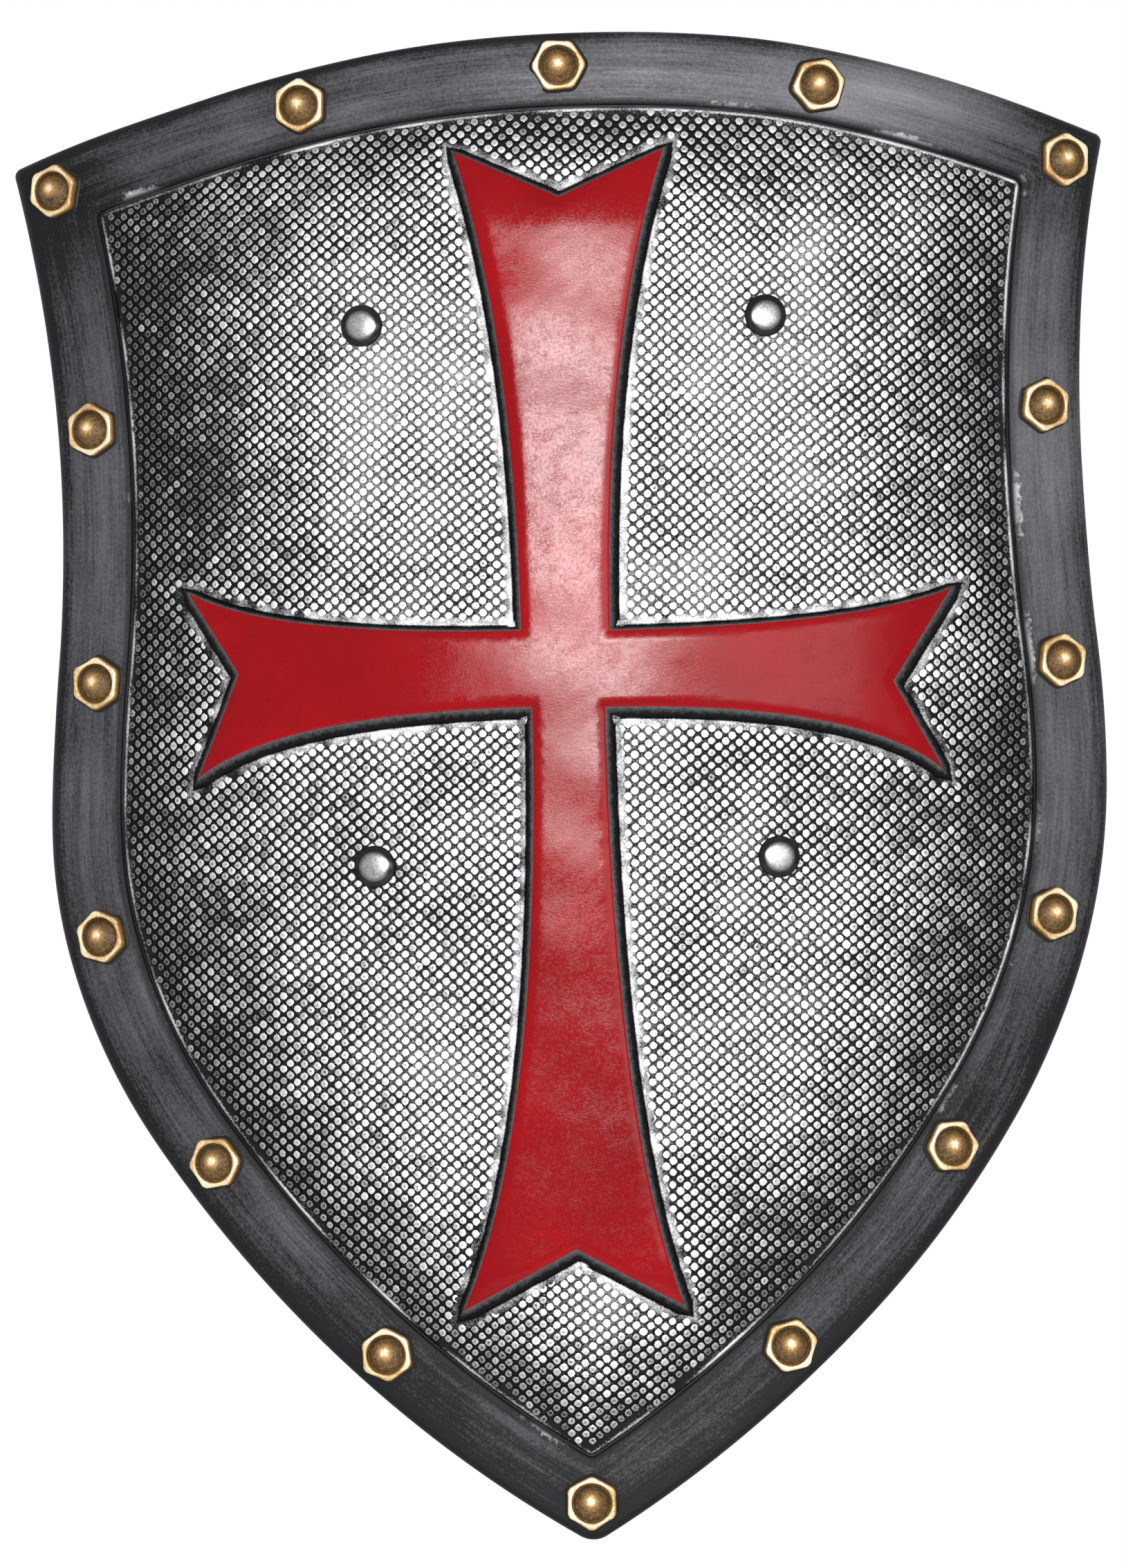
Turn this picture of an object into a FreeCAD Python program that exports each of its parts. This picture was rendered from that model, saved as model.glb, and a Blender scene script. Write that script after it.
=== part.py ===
import FreeCAD, Part
import math
import os

V = FreeCAD.Vector

# A foam heater shield, convex to the front. Millimetres, +Z up, the front faces -Y.
# The origin is on the back face, midway between the four posts that hold the two arm straps.

# Whole shield
shield_height = 700.0
shield_width = 512.0
peak_height = 258.0
corner_drop = 49.0
back_radius = 520.0
cut_overrun = 5.0
glue_gap = 0.05

# Side outline: shares of half the width, and of the height below the peak
bulge_width_share = 0.972
bulge_drop_share = 0.501
waist_width_share = 0.955
waist_drop_share = 0.404
knee_width_share = 0.786
knee_drop_share = 0.728
corner_round = 4.0
tip_round = 12.0

# Layers, from the back to the front
back_foam_thickness = 6.0
core_thickness = 4.0
core_inset = 16.0
core_clearance = 0.3
back_edge_round = 2.5
front_foam_thickness = 10.0
border_width = 34.0
border_thickness = 5.0
border_edge_round = 3.5
border_inner_bevel = 0.8

# Padded field inside the border
field_clearance = 1.0
field_edge_height = 2.5
field_rise = 12.5
field_shoulder = 55.0
field_skin_thickness = 1.6
field_grid_step = 16.0
field_spill_share = 0.6

# Raised cross, laid on by hand: a little off centre and a little turned
cross_height = 4.0
cross_centre_drop = 294.0
cross_shift = -3.0
cross_turn = 0.6
cross_arm_half_width = 20.0
cross_waist_reach = 21.0
cross_top_margin = 53.0
cross_top_half_width = 49.5
cross_top_notch = 20.5
cross_top_flare_share = 0.61
cross_bottom_margin = 109.5
cross_bottom_half_width = 52.0
cross_bottom_notch = 27.5
cross_bottom_flare_share = 0.70
cross_side_margin = 81.0
cross_side_half_width = 43.5
cross_side_notch = 22.0
cross_side_drop = 5.5
cross_side_flare_share = 0.75

# Hexagonal studs along the border
stud_across_flats = 22.0
stud_height = 5.2
stud_corner_round = 1.6
stud_edge_round = 0.7
stud_rim_width = 2.2
stud_recess_depth = 2.6
stud_dome_rise = 5.0
stud_dome_gap = 0.5
# Places: drop below the peak as a share of the height, then the hexagon's turn in degrees
stud_tip_inset = 19.5
stud_peak_inset = 15.0
stud_corner_inset = 17.0
stud_top_place_share = 0.47
stud_side_drop_shares = [0.2505, 0.4212, 0.5913, 0.7440, 0.8716]
stud_left_turns = [4.0, 9.0, -2.0, 3.0, -12.0, 25.0, -5.0]
stud_right_turns = [20.0, 2.0, 7.0, 8.0, 9.0, 29.0, 17.0]
stud_peak_turn = 30.0
stud_tip_turn = 1.0

# Binding posts that hold the straps
post_spacing_across = 187.0
post_spacing_up = 251.0
post_barrel_diameter = 6.0
post_hole_clearance = 0.2
post_thread_diameter = 4.0
post_thread_clearance = 0.1
cap_diameter = 19.5
cap_shoulder_height = 1.6
cap_dome_height = 3.4
cap_edge_round = 1.0
washer_diameter = 18.0
washer_thickness = 1.2
screw_head_diameter = 12.0
screw_head_height = 2.8
screw_length = 16.0
screw_slot_width = 1.2
screw_slot_depth = 1.1

# Straps
strap_width = 40.0
strap_thickness = 3.2
strap_seat_gap = 0.45
tab_overhang = 17.5
tab_reach = 14.0
tab_round = 8.0

# Hand grip strap
grip_rise = 50.0
grip_flat_half_length = 50.0
grip_turn = 60.0
grip_foot_radius = 25.0
sleeve_length = 92.0
sleeve_wall = 3.0
sleeve_clearance = 0.1
sleeve_edge_round = 4.0

# Forearm strap, buckle half
chape_rise = 66.0
chape_turn = 75.0
chape_foot_radius = 25.0
chape_run = 72.0
fold_lap = 24.0
fold_closing_angle = 35.0
fold_closing_radius = 6.0
fold_layer_gap = 0.3
bar_drop = 37.0
tongue_slot_width = 4.4
tongue_slot_reach = 12.0

# Forearm strap, hole half
billet_rise = 104.0
billet_turn = 70.0
billet_foot_radius = 30.0
billet_run = 124.0
billet_straight = 28.0
billet_point = 20.0
billet_hole_diameter = 4.6
billet_hole_spacing = 20.0
billet_first_hole = 34.0
billet_hole_count = 6

# Keeper loop and the two small rivets of the fold
keeper_width = 9.0
keeper_wall = 2.0
keeper_clearance = 0.4
keeper_above_bar = 13.5
fold_rivet_cap_diameter = 8.0
fold_rivet_cap_height = 1.4
fold_rivet_shank_diameter = 3.2
fold_rivet_spacing = 20.0
fold_rivet_edge = 6.5

# Roller buckle
bar_diameter = 4.4
bar_leather_clearance = 0.15
buckle_opening_clearance = 0.6
buckle_reach = 26.0
buckle_arm_width = 3.6
buckle_arm_thickness = 5.0
roller_bar_diameter = 3.8
roller_diameter = 7.0
roller_end_gap = 0.4
pivot_clearance = 0.1
prong_diameter = 3.0
prong_ring_wall = 1.5
prong_ring_width = 3.4
prong_rest_gap = 0.3
prong_overhang = 3.5

# Worked out from the sizes above
half_width = shield_width / 2
tip_height = peak_height - shield_height
cross_centre_height = peak_height - cross_centre_drop
cross_top_reach = cross_centre_drop - cross_top_margin
cross_bottom_reach = shield_height - cross_centre_drop - cross_bottom_margin
cross_side_reach = half_width - cross_side_margin
core_radius = back_radius + back_foam_thickness
front_foam_radius = core_radius + core_thickness
border_radius = front_foam_radius + front_foam_thickness
stud_radius = border_radius + border_thickness
field_inset = border_width + field_clearance
field_radius = border_radius + field_edge_height + field_rise
cap_seat_radius = field_radius + glue_gap
strap_half_width = strap_width / 2
post_angle = math.degrees(math.asin(post_spacing_across / 2 / cap_seat_radius))
post_half_rise = post_spacing_up / 2
slab_depth = shield_width
opening_width = strap_width + 2 * buckle_opening_clearance
bar_radius = bar_diameter / 2
fold_radius = bar_radius + bar_leather_clearance


def save(shape, name):
    """Writes one sub-part and reports its volume."""
    os.makedirs("parts", exist_ok=True)
    shape.exportStep("parts/" + name + ".step")
    print(name, "solids", len(shape.Solids), "volume", round(shape.Volume, 2), shape.isValid())


# Outline. One side is a chain of four arcs that run into each other without a corner.

def tangent_arc(start, tangent, end):
    """The arc that leaves start along tangent and reaches end: its centre, radius and end tangent."""
    normal = V(-tangent.z, 0, tangent.x)
    chord = end - start
    reach = chord.dot(chord) / (2 * chord.dot(normal))
    centre = start + normal * reach
    arm = (end - centre) / reach
    end_tangent = V(-arm.z, 0, arm.x)
    if end_tangent.dot(chord) < 0:
        end_tangent = end_tangent * -1
    return centre, abs(reach), end_tangent


def side_arcs():
    """The right side's arcs from the top corner down to the tip: start, end, centre, radius, bulges."""
    corner = V(half_width, 0, peak_height - corner_drop)
    waist = V(half_width * waist_width_share, 0, peak_height - shield_height * waist_drop_share)
    bulge = V(half_width * bulge_width_share, 0, peak_height - shield_height * bulge_drop_share)
    knee = V(half_width * knee_width_share, 0, peak_height - shield_height * knee_drop_share)
    tip = V(0, 0, tip_height)
    up_centre, up_radius, up_tangent = tangent_arc(bulge, V(0, 0, 1), waist)
    top_centre, top_radius, top_tangent = tangent_arc(waist, up_tangent, corner)
    down_centre, down_radius, down_tangent = tangent_arc(bulge, V(0, 0, -1), knee)
    tip_centre, tip_radius, tip_tangent = tangent_arc(knee, down_tangent, tip)
    return [
        (corner, waist, top_centre, top_radius, -1),
        (waist, bulge, up_centre, up_radius, 1),
        (bulge, knee, down_centre, down_radius, 1),
        (knee, tip, tip_centre, tip_radius, 1),
    ]


def top_arc():
    """The top edge's circle: its centre and radius."""
    radius = (half_width ** 2 + corner_drop ** 2) / (2 * corner_drop)
    return V(0, 0, peak_height - radius), radius


def inset_point(point, centre, bulges, inset):
    """A point on one of the arcs, moved inwards by the inset."""
    away = point - centre
    away.normalize()
    return point - away * (bulges * inset)


def circle_crossing(centre_a, radius_a, centre_b, radius_b, near):
    """Where two circles cross, nearest to a given point."""
    line = centre_b - centre_a
    gap = line.Length
    along = (gap ** 2 + radius_a ** 2 - radius_b ** 2) / (2 * gap)
    aside = math.sqrt(radius_a ** 2 - along ** 2)
    unit = line / gap
    foot = centre_a + unit * along
    normal = V(-unit.z, 0, unit.x)
    choices = [foot + normal * aside, foot - normal * aside]
    return min(choices, key=lambda place: (place - near).Length)


def arc_edge(start, end, centre, radius, bulges):
    """The short arc from start to end about a centre."""
    middle = (start + end) / 2
    away = middle - centre
    away.normalize()
    return Part.Arc(start, centre + away * radius, end).toShape()


def mirrored(point):
    return V(-point.x, point.y, point.z)


def inset_corners(inset):
    """The right top corner, the joints of the side arcs and the tip, all moved in by the inset."""
    arcs = side_arcs()
    top_centre, top_radius = top_arc()
    first = arcs[0]
    corner = circle_crossing(top_centre, top_radius - inset, first[2], first[3] + inset, first[0])
    joints = [inset_point(arc[1], arc[2], arc[4], inset) for arc in arcs[:-1]]
    last = arcs[-1]
    drop = math.sqrt((last[3] - inset) ** 2 - last[2].x ** 2)
    return [corner] + joints + [V(0, 0, last[2].z - drop)]


def outline_wire(inset):
    """The shield's outline in the XZ plane, moved in by the inset."""
    arcs = side_arcs()
    places = inset_corners(inset)
    edges = []
    for number, arc in enumerate(arcs):
        radius = arc[3] - arc[4] * inset
        start = places[number]
        end = places[number + 1]
        edges.append(arc_edge(start, end, arc[2], radius, arc[4]))
        flipped = mirrored(arc[2])
        edges.append(arc_edge(mirrored(start), mirrored(end), flipped, radius, arc[4]))
    top_centre, top_radius = top_arc()
    peak = top_centre + V(0, 0, top_radius - inset)
    edges.append(Part.Arc(mirrored(places[0]), peak, places[0]).toShape())
    return Part.Wire(Part.__sortEdges__(edges))


def outline_prism(inset, corner, tip):
    """The outline run from front to back through the whole shield, with rounded corners."""
    face = Part.Face(outline_wire(inset))
    face.translate(V(0, -slab_depth / 2, 0))
    prism = face.extrude(V(0, slab_depth, 0))
    places = inset_corners(inset)
    for place, radius in ((places[0], corner), (mirrored(places[0]), corner), (places[-1], tip)):
        prism = prism.makeFillet(radius, [edge for edge in prism.Edges if at_place(edge, place)])
    return prism


def at_place(edge, place):
    """True for an edge that runs along Y through a place of the XZ plane."""
    if len(edge.Vertexes) < 2:
        return False
    first = edge.Vertexes[0].Point
    second = edge.Vertexes[1].Point
    along = V(second.x - first.x, 0, second.z - first.z)
    aside = V(first.x - place.x, 0, first.z - place.z)
    return along.Length < glue_gap and aside.Length < glue_gap


def drum(radius):
    """The solid cylinder that the curved layers are cut from."""
    base = V(0, back_radius, tip_height - cut_overrun)
    return Part.makeCylinder(radius, shield_height + 2 * cut_overrun, base, V(0, 0, 1))


def layer(prism, inner_radius, outer_radius):
    """The part of a prism between two radii of the curve."""
    return prism.common(drum(outer_radius)).cut(drum(inner_radius))


def edge_distance(x, z):
    """How far a point lies inside the outline's top edge and its right edge."""
    point = V(x, 0, z)
    top_centre, top_radius = top_arc()
    top = top_radius - (point - top_centre).Length
    side = 0.0
    for arc in side_arcs():
        side = arc[4] * (arc[3] - (point - arc[2]).Length)
        away = arc[1] - arc[2]
        tangent = V(away.z * arc[4], 0, -away.x * arc[4])
        if (point - arc[1]).dot(tangent) < 0:
            break
    return top, side


def rim_edges(shape, radius, nearest, furthest):
    """The edges that lie on the curve at a radius, between two distances inside the outline."""
    chosen = []
    for edge in shape.Edges:
        middle = (edge.FirstParameter + edge.LastParameter) / 2
        spots = [edge.valueAt(share) for share in (edge.FirstParameter, middle, edge.LastParameter)]
        off = max(abs(math.hypot(spot.x, spot.y - back_radius) - radius) for spot in spots)
        top, right = edge_distance(spots[1].x, spots[1].z)
        top, left = edge_distance(-spots[1].x, spots[1].z)
        if off < glue_gap and nearest <= min(top, left, right) <= furthest:
            chosen.append(edge)
    return chosen


# Padded field

def shoulder(distance):
    """Rises from 0 at the field's edge to 1 where the shoulder ends, and levels off there."""
    share = max(min((distance - field_inset) / field_shoulder, 1), -field_spill_share)
    return 1 - (1 - share) ** 2


def field_height(x, z):
    """The padded field's height over the front foam."""
    top, right = edge_distance(x, z)
    top, left = edge_distance(-x, z)
    return field_edge_height + field_rise * shoulder(top) * shoulder(left) * shoulder(right)


def field_point(x, z):
    radius = border_radius + field_height(x, z)
    return V(x, back_radius - math.sqrt(radius ** 2 - x ** 2), z)


def field_surface():
    """The padded field's front as one smooth sheet, a little larger than the field."""
    across = half_width
    columns = 2 * round(across / field_grid_step)
    rows = round(shield_height / field_grid_step)
    grid = []
    for row in range(rows + 1):
        z = tip_height + shield_height * row / rows
        line = [field_point(across * (2 * column / columns - 1), z) for column in range(columns + 1)]
        grid.append(line)
    surface = Part.BSplineSurface()
    surface.interpolate(grid)
    return surface.toShape()


# Cross

def flared_side(start, tip, flare_share, along):
    """An arm's edge that leaves the waist along the arm and flares out to its tip."""
    reach = (tip - start).dot(along)
    control = start + along * (reach * flare_share)
    curve = Part.BezierCurve()
    curve.setPoles([start, control, tip])
    return curve.toShape()


def cross_arm(along, across, reach, half, notch, flare_share, tip_shift):
    """One arm's open outline: out along one side, in to the notch and back along the other."""
    shift = across * tip_shift
    start = along * cross_waist_reach + across * cross_arm_half_width
    end = along * cross_waist_reach - across * cross_arm_half_width
    tip_a = along * reach + across * half + shift
    tip_b = along * reach - across * half + shift
    centre = along * (reach - notch) + shift
    return [
        flared_side(start, tip_a, flare_share, along),
        Part.LineSegment(tip_a, centre).toShape(),
        Part.LineSegment(centre, tip_b).toShape(),
        flared_side(end, tip_b, flare_share, along),
    ]


def cross_prism():
    """The cross's outline run from front to back."""
    up = V(0, 0, 1)
    right = V(1, 0, 0)
    edges = cross_arm(up, right, cross_top_reach, cross_top_half_width,
                      cross_top_notch, cross_top_flare_share, 0)
    edges += cross_arm(up * -1, right, cross_bottom_reach, cross_bottom_half_width,
                       cross_bottom_notch, cross_bottom_flare_share, 0)
    for side in (right, right * -1):
        edges += cross_arm(side, up, cross_side_reach, cross_side_half_width,
                           cross_side_notch, cross_side_flare_share, -cross_side_drop)
    gap = cross_waist_reach - cross_arm_half_width
    for side in (-1, 1):
        for rise in (-1, 1):
            inner = V(side * cross_arm_half_width, 0, rise * cross_waist_reach)
            outer = V(side * cross_waist_reach, 0, rise * cross_arm_half_width)
            edges.append(Part.LineSegment(inner, outer).toShape())
    face = Part.Face(Part.Wire(Part.__sortEdges__(edges)))
    face.rotate(V(0, 0, 0), V(0, -1, 0), cross_turn)
    face.translate(V(cross_shift, -slab_depth / 2, cross_centre_height))
    return face.extrude(V(0, slab_depth, 0))


# Placing things on the curve: local X runs along the surface, local Y points out of the back

def on_curve(shape, radius, degrees, height):
    """Stands a local shape on the curve at a radius, an angle round it and a height."""
    angle = math.radians(degrees)
    place = V(radius * math.sin(angle), back_radius - radius * math.cos(angle), height)
    shape.Placement = FreeCAD.Placement(place, FreeCAD.Rotation(V(0, 0, 1), degrees))
    return shape


def rod(radius, start, length):
    """A cylinder along the local Y axis."""
    return Part.makeCylinder(radius, length, V(0, start, 0), V(0, 1, 0))


def dome(radius, rise, base):
    """A round cap that stands on y = base and bulges to the front."""
    ball_radius = (radius ** 2 + rise ** 2) / (2 * rise)
    ball = Part.makeSphere(ball_radius, V(0, base - rise + ball_radius, 0))
    return ball.common(rod(radius, base - rise - cut_overrun, rise + cut_overrun))


def hex_stud(turn):
    """A hexagonal stud with a rounded rim, a round recess and a dome in it, standing on y = 0."""
    circle_radius = stud_across_flats / math.sqrt(3)
    corners = [V(circle_radius * math.sin(math.radians(60 * step + turn)), 0,
                 circle_radius * math.cos(math.radians(60 * step + turn))) for step in range(7)]
    block = Part.Face(Part.makePolygon(corners)).extrude(V(0, -stud_height, 0))
    upright = [edge for edge in block.Edges if abs(edge.Vertexes[0].Y - edge.Vertexes[1].Y) > glue_gap]
    block = block.makeFillet(stud_corner_round, upright)
    rim = [edge for edge in block.Edges if abs(edge.BoundBox.YMax + stud_height) < glue_gap]
    block = block.makeFillet(stud_edge_round, rim)
    recess_radius = stud_across_flats / 2 - stud_rim_width
    floor = -stud_height + stud_recess_depth
    block = block.cut(rod(recess_radius, -stud_height - cut_overrun, stud_recess_depth + cut_overrun))
    return block.fuse(dome(recess_radius - stud_dome_gap, stud_dome_rise, floor)).removeSplitter()


def stud_places():
    """Where the studs stand, as x, height and turn: the peak, then down both sides, then the tip."""
    middle = border_width / 2
    top_centre, top_radius = top_arc()
    places = [(0, peak_height - stud_peak_inset, stud_peak_turn)]
    row_radius = top_radius - stud_peak_inset
    spots = []
    x = half_width * stud_top_place_share
    spots.append((x, top_centre.z + math.sqrt(row_radius ** 2 - x ** 2)))
    corner = inset_corners(stud_corner_inset)[0]
    spots.append((corner.x, corner.z))
    for share in stud_side_drop_shares:
        z = peak_height - shield_height * share
        spots.append((side_x(z, middle), z))
    for spot, left, right in zip(spots, stud_left_turns, stud_right_turns):
        places.append((-spot[0], spot[1], left))
        places.append((spot[0], spot[1], right))
    places.append((0, tip_height + stud_tip_inset, stud_tip_turn))
    return places


def side_x(z, inset):
    """The outline's half width at a height, moved in by the inset."""
    for start, end, centre, radius, bulges in side_arcs():
        moved = inset_point(end, centre, bulges, inset)
        if z >= moved.z:
            break
    run = math.sqrt((radius - bulges * inset) ** 2 - (z - centre.z) ** 2)
    return centre.x + bulges * run


# Straps, drawn in their local frame: across the strap X, out of the back Y, up Z

def walk(start, heading, moves):
    """The ends and centres of a path of straight and round moves, in the YZ plane."""
    stations = []
    place = start
    angle = heading
    for size, turn in moves:
        ahead = V(0, math.cos(math.radians(angle)), math.sin(math.radians(angle)))
        left = V(0, -ahead.z, ahead.y)
        if turn == 0:
            stations.append((place, angle, size, turn, None))
            place = place + ahead * size
        else:
            side = 1 if turn > 0 else -1
            centre = place + left * (side * size)
            stations.append((place, angle, size, turn, centre))
            angle = angle + turn
            ahead = V(0, math.cos(math.radians(angle)), math.sin(math.radians(angle)))
            left = V(0, -ahead.z, ahead.y)
            place = centre - left * (side * size)
    stations.append((place, angle, 0, 0, None))
    return stations


def side_normal(angle):
    return V(0, -math.sin(math.radians(angle)), math.cos(math.radians(angle)))


def ribbon(start, heading, moves, thickness, width):
    """A strap that follows the moves, with its thickness on their left."""
    stations = walk(start, heading, moves)
    edges = []
    for here, after in zip(stations[:-1], stations[1:]):
        place, angle, size, turn, centre = here
        end_place, end_angle = after[0], after[1]
        for offset in (0, thickness):
            first = place + side_normal(angle) * offset
            last = end_place + side_normal(end_angle) * offset
            if turn == 0:
                edges.append(Part.LineSegment(first, last).toShape())
            else:
                half = angle + turn / 2
                side = 1 if turn > 0 else -1
                middle = centre + side_normal(half) * (offset - side * size)
                edges.append(Part.Arc(first, middle, last).toShape())
    for place, angle in ((stations[0][0], stations[0][1]), (stations[-1][0], stations[-1][1])):
        edges.append(Part.LineSegment(place, place + side_normal(angle) * thickness).toShape())
    face = Part.Face(Part.Wire(Part.__sortEdges__(edges)))
    face.translate(V(-width / 2, 0, 0))
    return face.extrude(V(width, 0, 0))


def path_spot(start, heading, moves, distance):
    """The place and heading at a distance along a path."""
    for place, angle, size, turn, centre in walk(start, heading, moves):
        length = size if turn == 0 else size * math.radians(abs(turn))
        if distance <= length:
            break
        distance = distance - length
    if turn == 0:
        return place + V(0, math.cos(math.radians(angle)), math.sin(math.radians(angle))) * distance, angle
    side = 1 if turn > 0 else -1
    reached = angle + side * math.degrees(distance / size)
    return centre - side_normal(reached) * (side * size), reached


def bow_moves(run, rise, turn, foot_radius):
    """Foot arc, ramp and shoulder arc that climb a rise in a run, both arcs turning alike."""
    angle = math.radians(turn)
    both = (run * math.sin(angle) - rise * math.cos(angle)) / (1 - math.cos(angle))
    ramp = (rise * math.sin(angle) - run * (1 - math.cos(angle))) / (1 - math.cos(angle))
    return [(foot_radius, turn), (ramp, 0), (both - foot_radius, -turn)]


def strap_hole(angle_height):
    """The hole for a post's barrel through a strap's tab."""
    radius = post_barrel_diameter / 2 + post_hole_clearance
    hole = rod(radius, -cut_overrun, strap_thickness + 2 * cut_overrun)
    hole.translate(V(0, 0, angle_height))
    return hole


def round_tab_end(strap, height):
    """Rounds the two corners of a strap's end at a height."""
    ends = [edge for edge in strap.Edges
            if abs(edge.Vertexes[0].Z - height) < glue_gap and abs(edge.Vertexes[-1].Z - height) < glue_gap
            and abs(edge.Vertexes[0].X - edge.Vertexes[-1].X) < glue_gap]
    return strap.makeFillet(tab_round, ends)


def hand_grip_strap():
    """A strap bowed off the back between two posts, flat in the middle where the hand closes on it."""
    tab_top = post_half_rise + tab_overhang
    foot = post_half_rise - tab_reach
    rise = grip_rise
    bow = bow_moves(foot - grip_flat_half_length, rise, grip_turn, grip_foot_radius)
    moves = [(tab_top - foot, 0)] + bow + [(2 * grip_flat_half_length, 0)]
    moves += [(bow[2][0], bow[2][1]), (bow[1][0], 0), (bow[0][0], bow[0][1]), (tab_top - foot, 0)]
    strap = ribbon(V(0, strap_seat_gap, tab_top), -90, moves, strap_thickness, strap_width)
    for height in (post_half_rise, -post_half_rise):
        strap = strap.cut(strap_hole(height))
    strap = round_tab_end(strap, tab_top)
    return round_tab_end(strap, -tab_top)


def hand_grip_sleeve():
    """The padded sleeve round the hand grip's flat middle."""
    inner_y = strap_seat_gap + grip_rise
    outside = Part.makeBox(
        strap_width + 2 * (sleeve_wall + sleeve_clearance),
        strap_thickness + 2 * (sleeve_wall + sleeve_clearance),
        sleeve_length,
        V(-strap_half_width - sleeve_wall - sleeve_clearance,
          inner_y - sleeve_wall - sleeve_clearance, -sleeve_length / 2))
    upright = [edge for edge in outside.Edges if abs(edge.Vertexes[0].Z - edge.Vertexes[1].Z) > glue_gap]
    outside = outside.makeFillet(sleeve_edge_round, upright)
    inside = Part.makeBox(
        strap_width + 2 * sleeve_clearance,
        strap_thickness + 2 * sleeve_clearance,
        sleeve_length + 2 * cut_overrun,
        V(-strap_half_width - sleeve_clearance,
          inner_y - sleeve_clearance, -sleeve_length / 2 - cut_overrun))
    return outside.cut(inside)


def chape_layout():
    """The buckle half's start, its moves and the bar's centre."""
    tab_top = post_half_rise + tab_overhang
    foot = post_half_rise - tab_reach
    bow = bow_moves(chape_run, chape_rise, chape_turn, chape_foot_radius)
    bar_height = foot - chape_run - bar_drop
    closing = math.radians(fold_closing_angle)
    gain = fold_radius * (1 + math.cos(closing)) - fold_layer_gap
    lap = (gain - fold_closing_radius * (1 - math.cos(closing))) / math.sin(closing)
    moves = [(tab_top - foot, 0)] + bow + [(bar_drop, 0)]
    moves += [(fold_radius, -180 - fold_closing_angle), (lap, 0)]
    moves += [(fold_closing_radius, fold_closing_angle), (fold_lap, 0)]
    start = V(0, strap_seat_gap, tab_top)
    bar = V(0, strap_seat_gap + chape_rise - fold_radius, bar_height)
    return start, moves, bar


def forearm_chape():
    """The buckle half of the forearm strap, folded round the buckle's bar and slotted for the prong."""
    start, moves, bar = chape_layout()
    strap = ribbon(start, -90, moves, strap_thickness, strap_width)
    strap = strap.cut(strap_hole(post_half_rise))
    reach = fold_radius + strap_thickness + cut_overrun
    slot = Part.makeBox(tongue_slot_width, 2 * reach, tongue_slot_reach + reach,
                        V(-tongue_slot_width / 2, bar.y - reach, bar.z - reach))
    strap = strap.cut(slot)
    for x in (-fold_rivet_spacing / 2, fold_rivet_spacing / 2):
        hole = rod(fold_rivet_shank_diameter / 2 + pivot_clearance, bar.y - reach, 2 * reach)
        hole.translate(V(x, 0, fold_rivet_height(bar)))
        strap = strap.cut(hole)
    return round_tab_end(strap, start.z)


def fold_layers(bar):
    """The outer faces of the doubled strap above the fold, as two Y places."""
    front = bar.y + fold_radius - fold_layer_gap - strap_thickness
    return front, bar.y + fold_radius + strap_thickness


def fold_rivet_height(bar):
    return bar.z + keeper_above_bar + keeper_width + fold_rivet_edge


def fold_rivets():
    """Two double-capped rivets that hold the fold shut."""
    bar = chape_layout()[2]
    front, back = fold_layers(bar)
    rivets = []
    for x in (-fold_rivet_spacing / 2, fold_rivet_spacing / 2):
        shank = rod(fold_rivet_shank_diameter / 2, front, back - front)
        front_cap = dome(fold_rivet_cap_diameter / 2, fold_rivet_cap_height, 0)
        back_cap = front_cap.mirror(V(0, 0, 0), V(0, 1, 0))
        front_cap.translate(V(0, front, 0))
        back_cap.translate(V(0, back, 0))
        rivet = shank.fuse([front_cap, back_cap])
        rivet.translate(V(x, 0, fold_rivet_height(bar)))
        rivets.append(rivet)
    return Part.makeCompound(rivets)


def keeper_loop():
    """A loose leather loop that takes the hole half's end when the strap is done up."""
    bar = chape_layout()[2]
    front, back = fold_layers(bar)
    clear = keeper_clearance
    room = back + strap_thickness + clear
    base = bar.z + keeper_above_bar
    inner = Part.makeBox(strap_width + 2 * clear, room - front + clear, keeper_width + 2 * cut_overrun,
                         V(-strap_half_width - clear, front - clear, base - cut_overrun))
    wall = clear + keeper_wall
    outer = Part.makeBox(strap_width + 2 * wall, room - front + clear + 2 * keeper_wall, keeper_width,
                         V(-strap_half_width - wall, front - wall, base))
    upright = [edge for edge in outer.Edges if abs(edge.Vertexes[0].Z - edge.Vertexes[1].Z) > glue_gap]
    return outer.makeFillet(keeper_wall, upright).cut(inner)


def forearm_billet():
    """The hole half of the forearm strap, standing open beside the buckle."""
    tab_top = post_half_rise + tab_overhang
    foot = post_half_rise - tab_reach
    bow = bow_moves(billet_run, billet_rise, billet_turn, billet_foot_radius)
    moves = [(tab_top - foot, 0)] + bow + [(billet_straight, 0)]
    start = V(0, strap_seat_gap, tab_top)
    strap = ribbon(start, -90, moves, strap_thickness, strap_width)
    strap = strap.cut(strap_hole(post_half_rise))
    strap = round_tab_end(strap, tab_top)
    length = sum(size if turn == 0 else size * math.radians(abs(turn)) for size, turn in moves)
    for number in range(billet_hole_count):
        distance = length - billet_first_hole - number * billet_hole_spacing
        place, angle = path_spot(start, -90, moves, distance)
        normal = side_normal(angle)
        base = place - normal * cut_overrun
        punch = Part.makeCylinder(billet_hole_diameter / 2, strap_thickness + 2 * cut_overrun, base, normal)
        strap = strap.cut(punch)
    end, angle = path_spot(start, -90, moves, length)
    strap = strap.cut(point_cutter(end))
    return strap.mirror(V(0, 0, 0), V(0, 0, 1))


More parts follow.
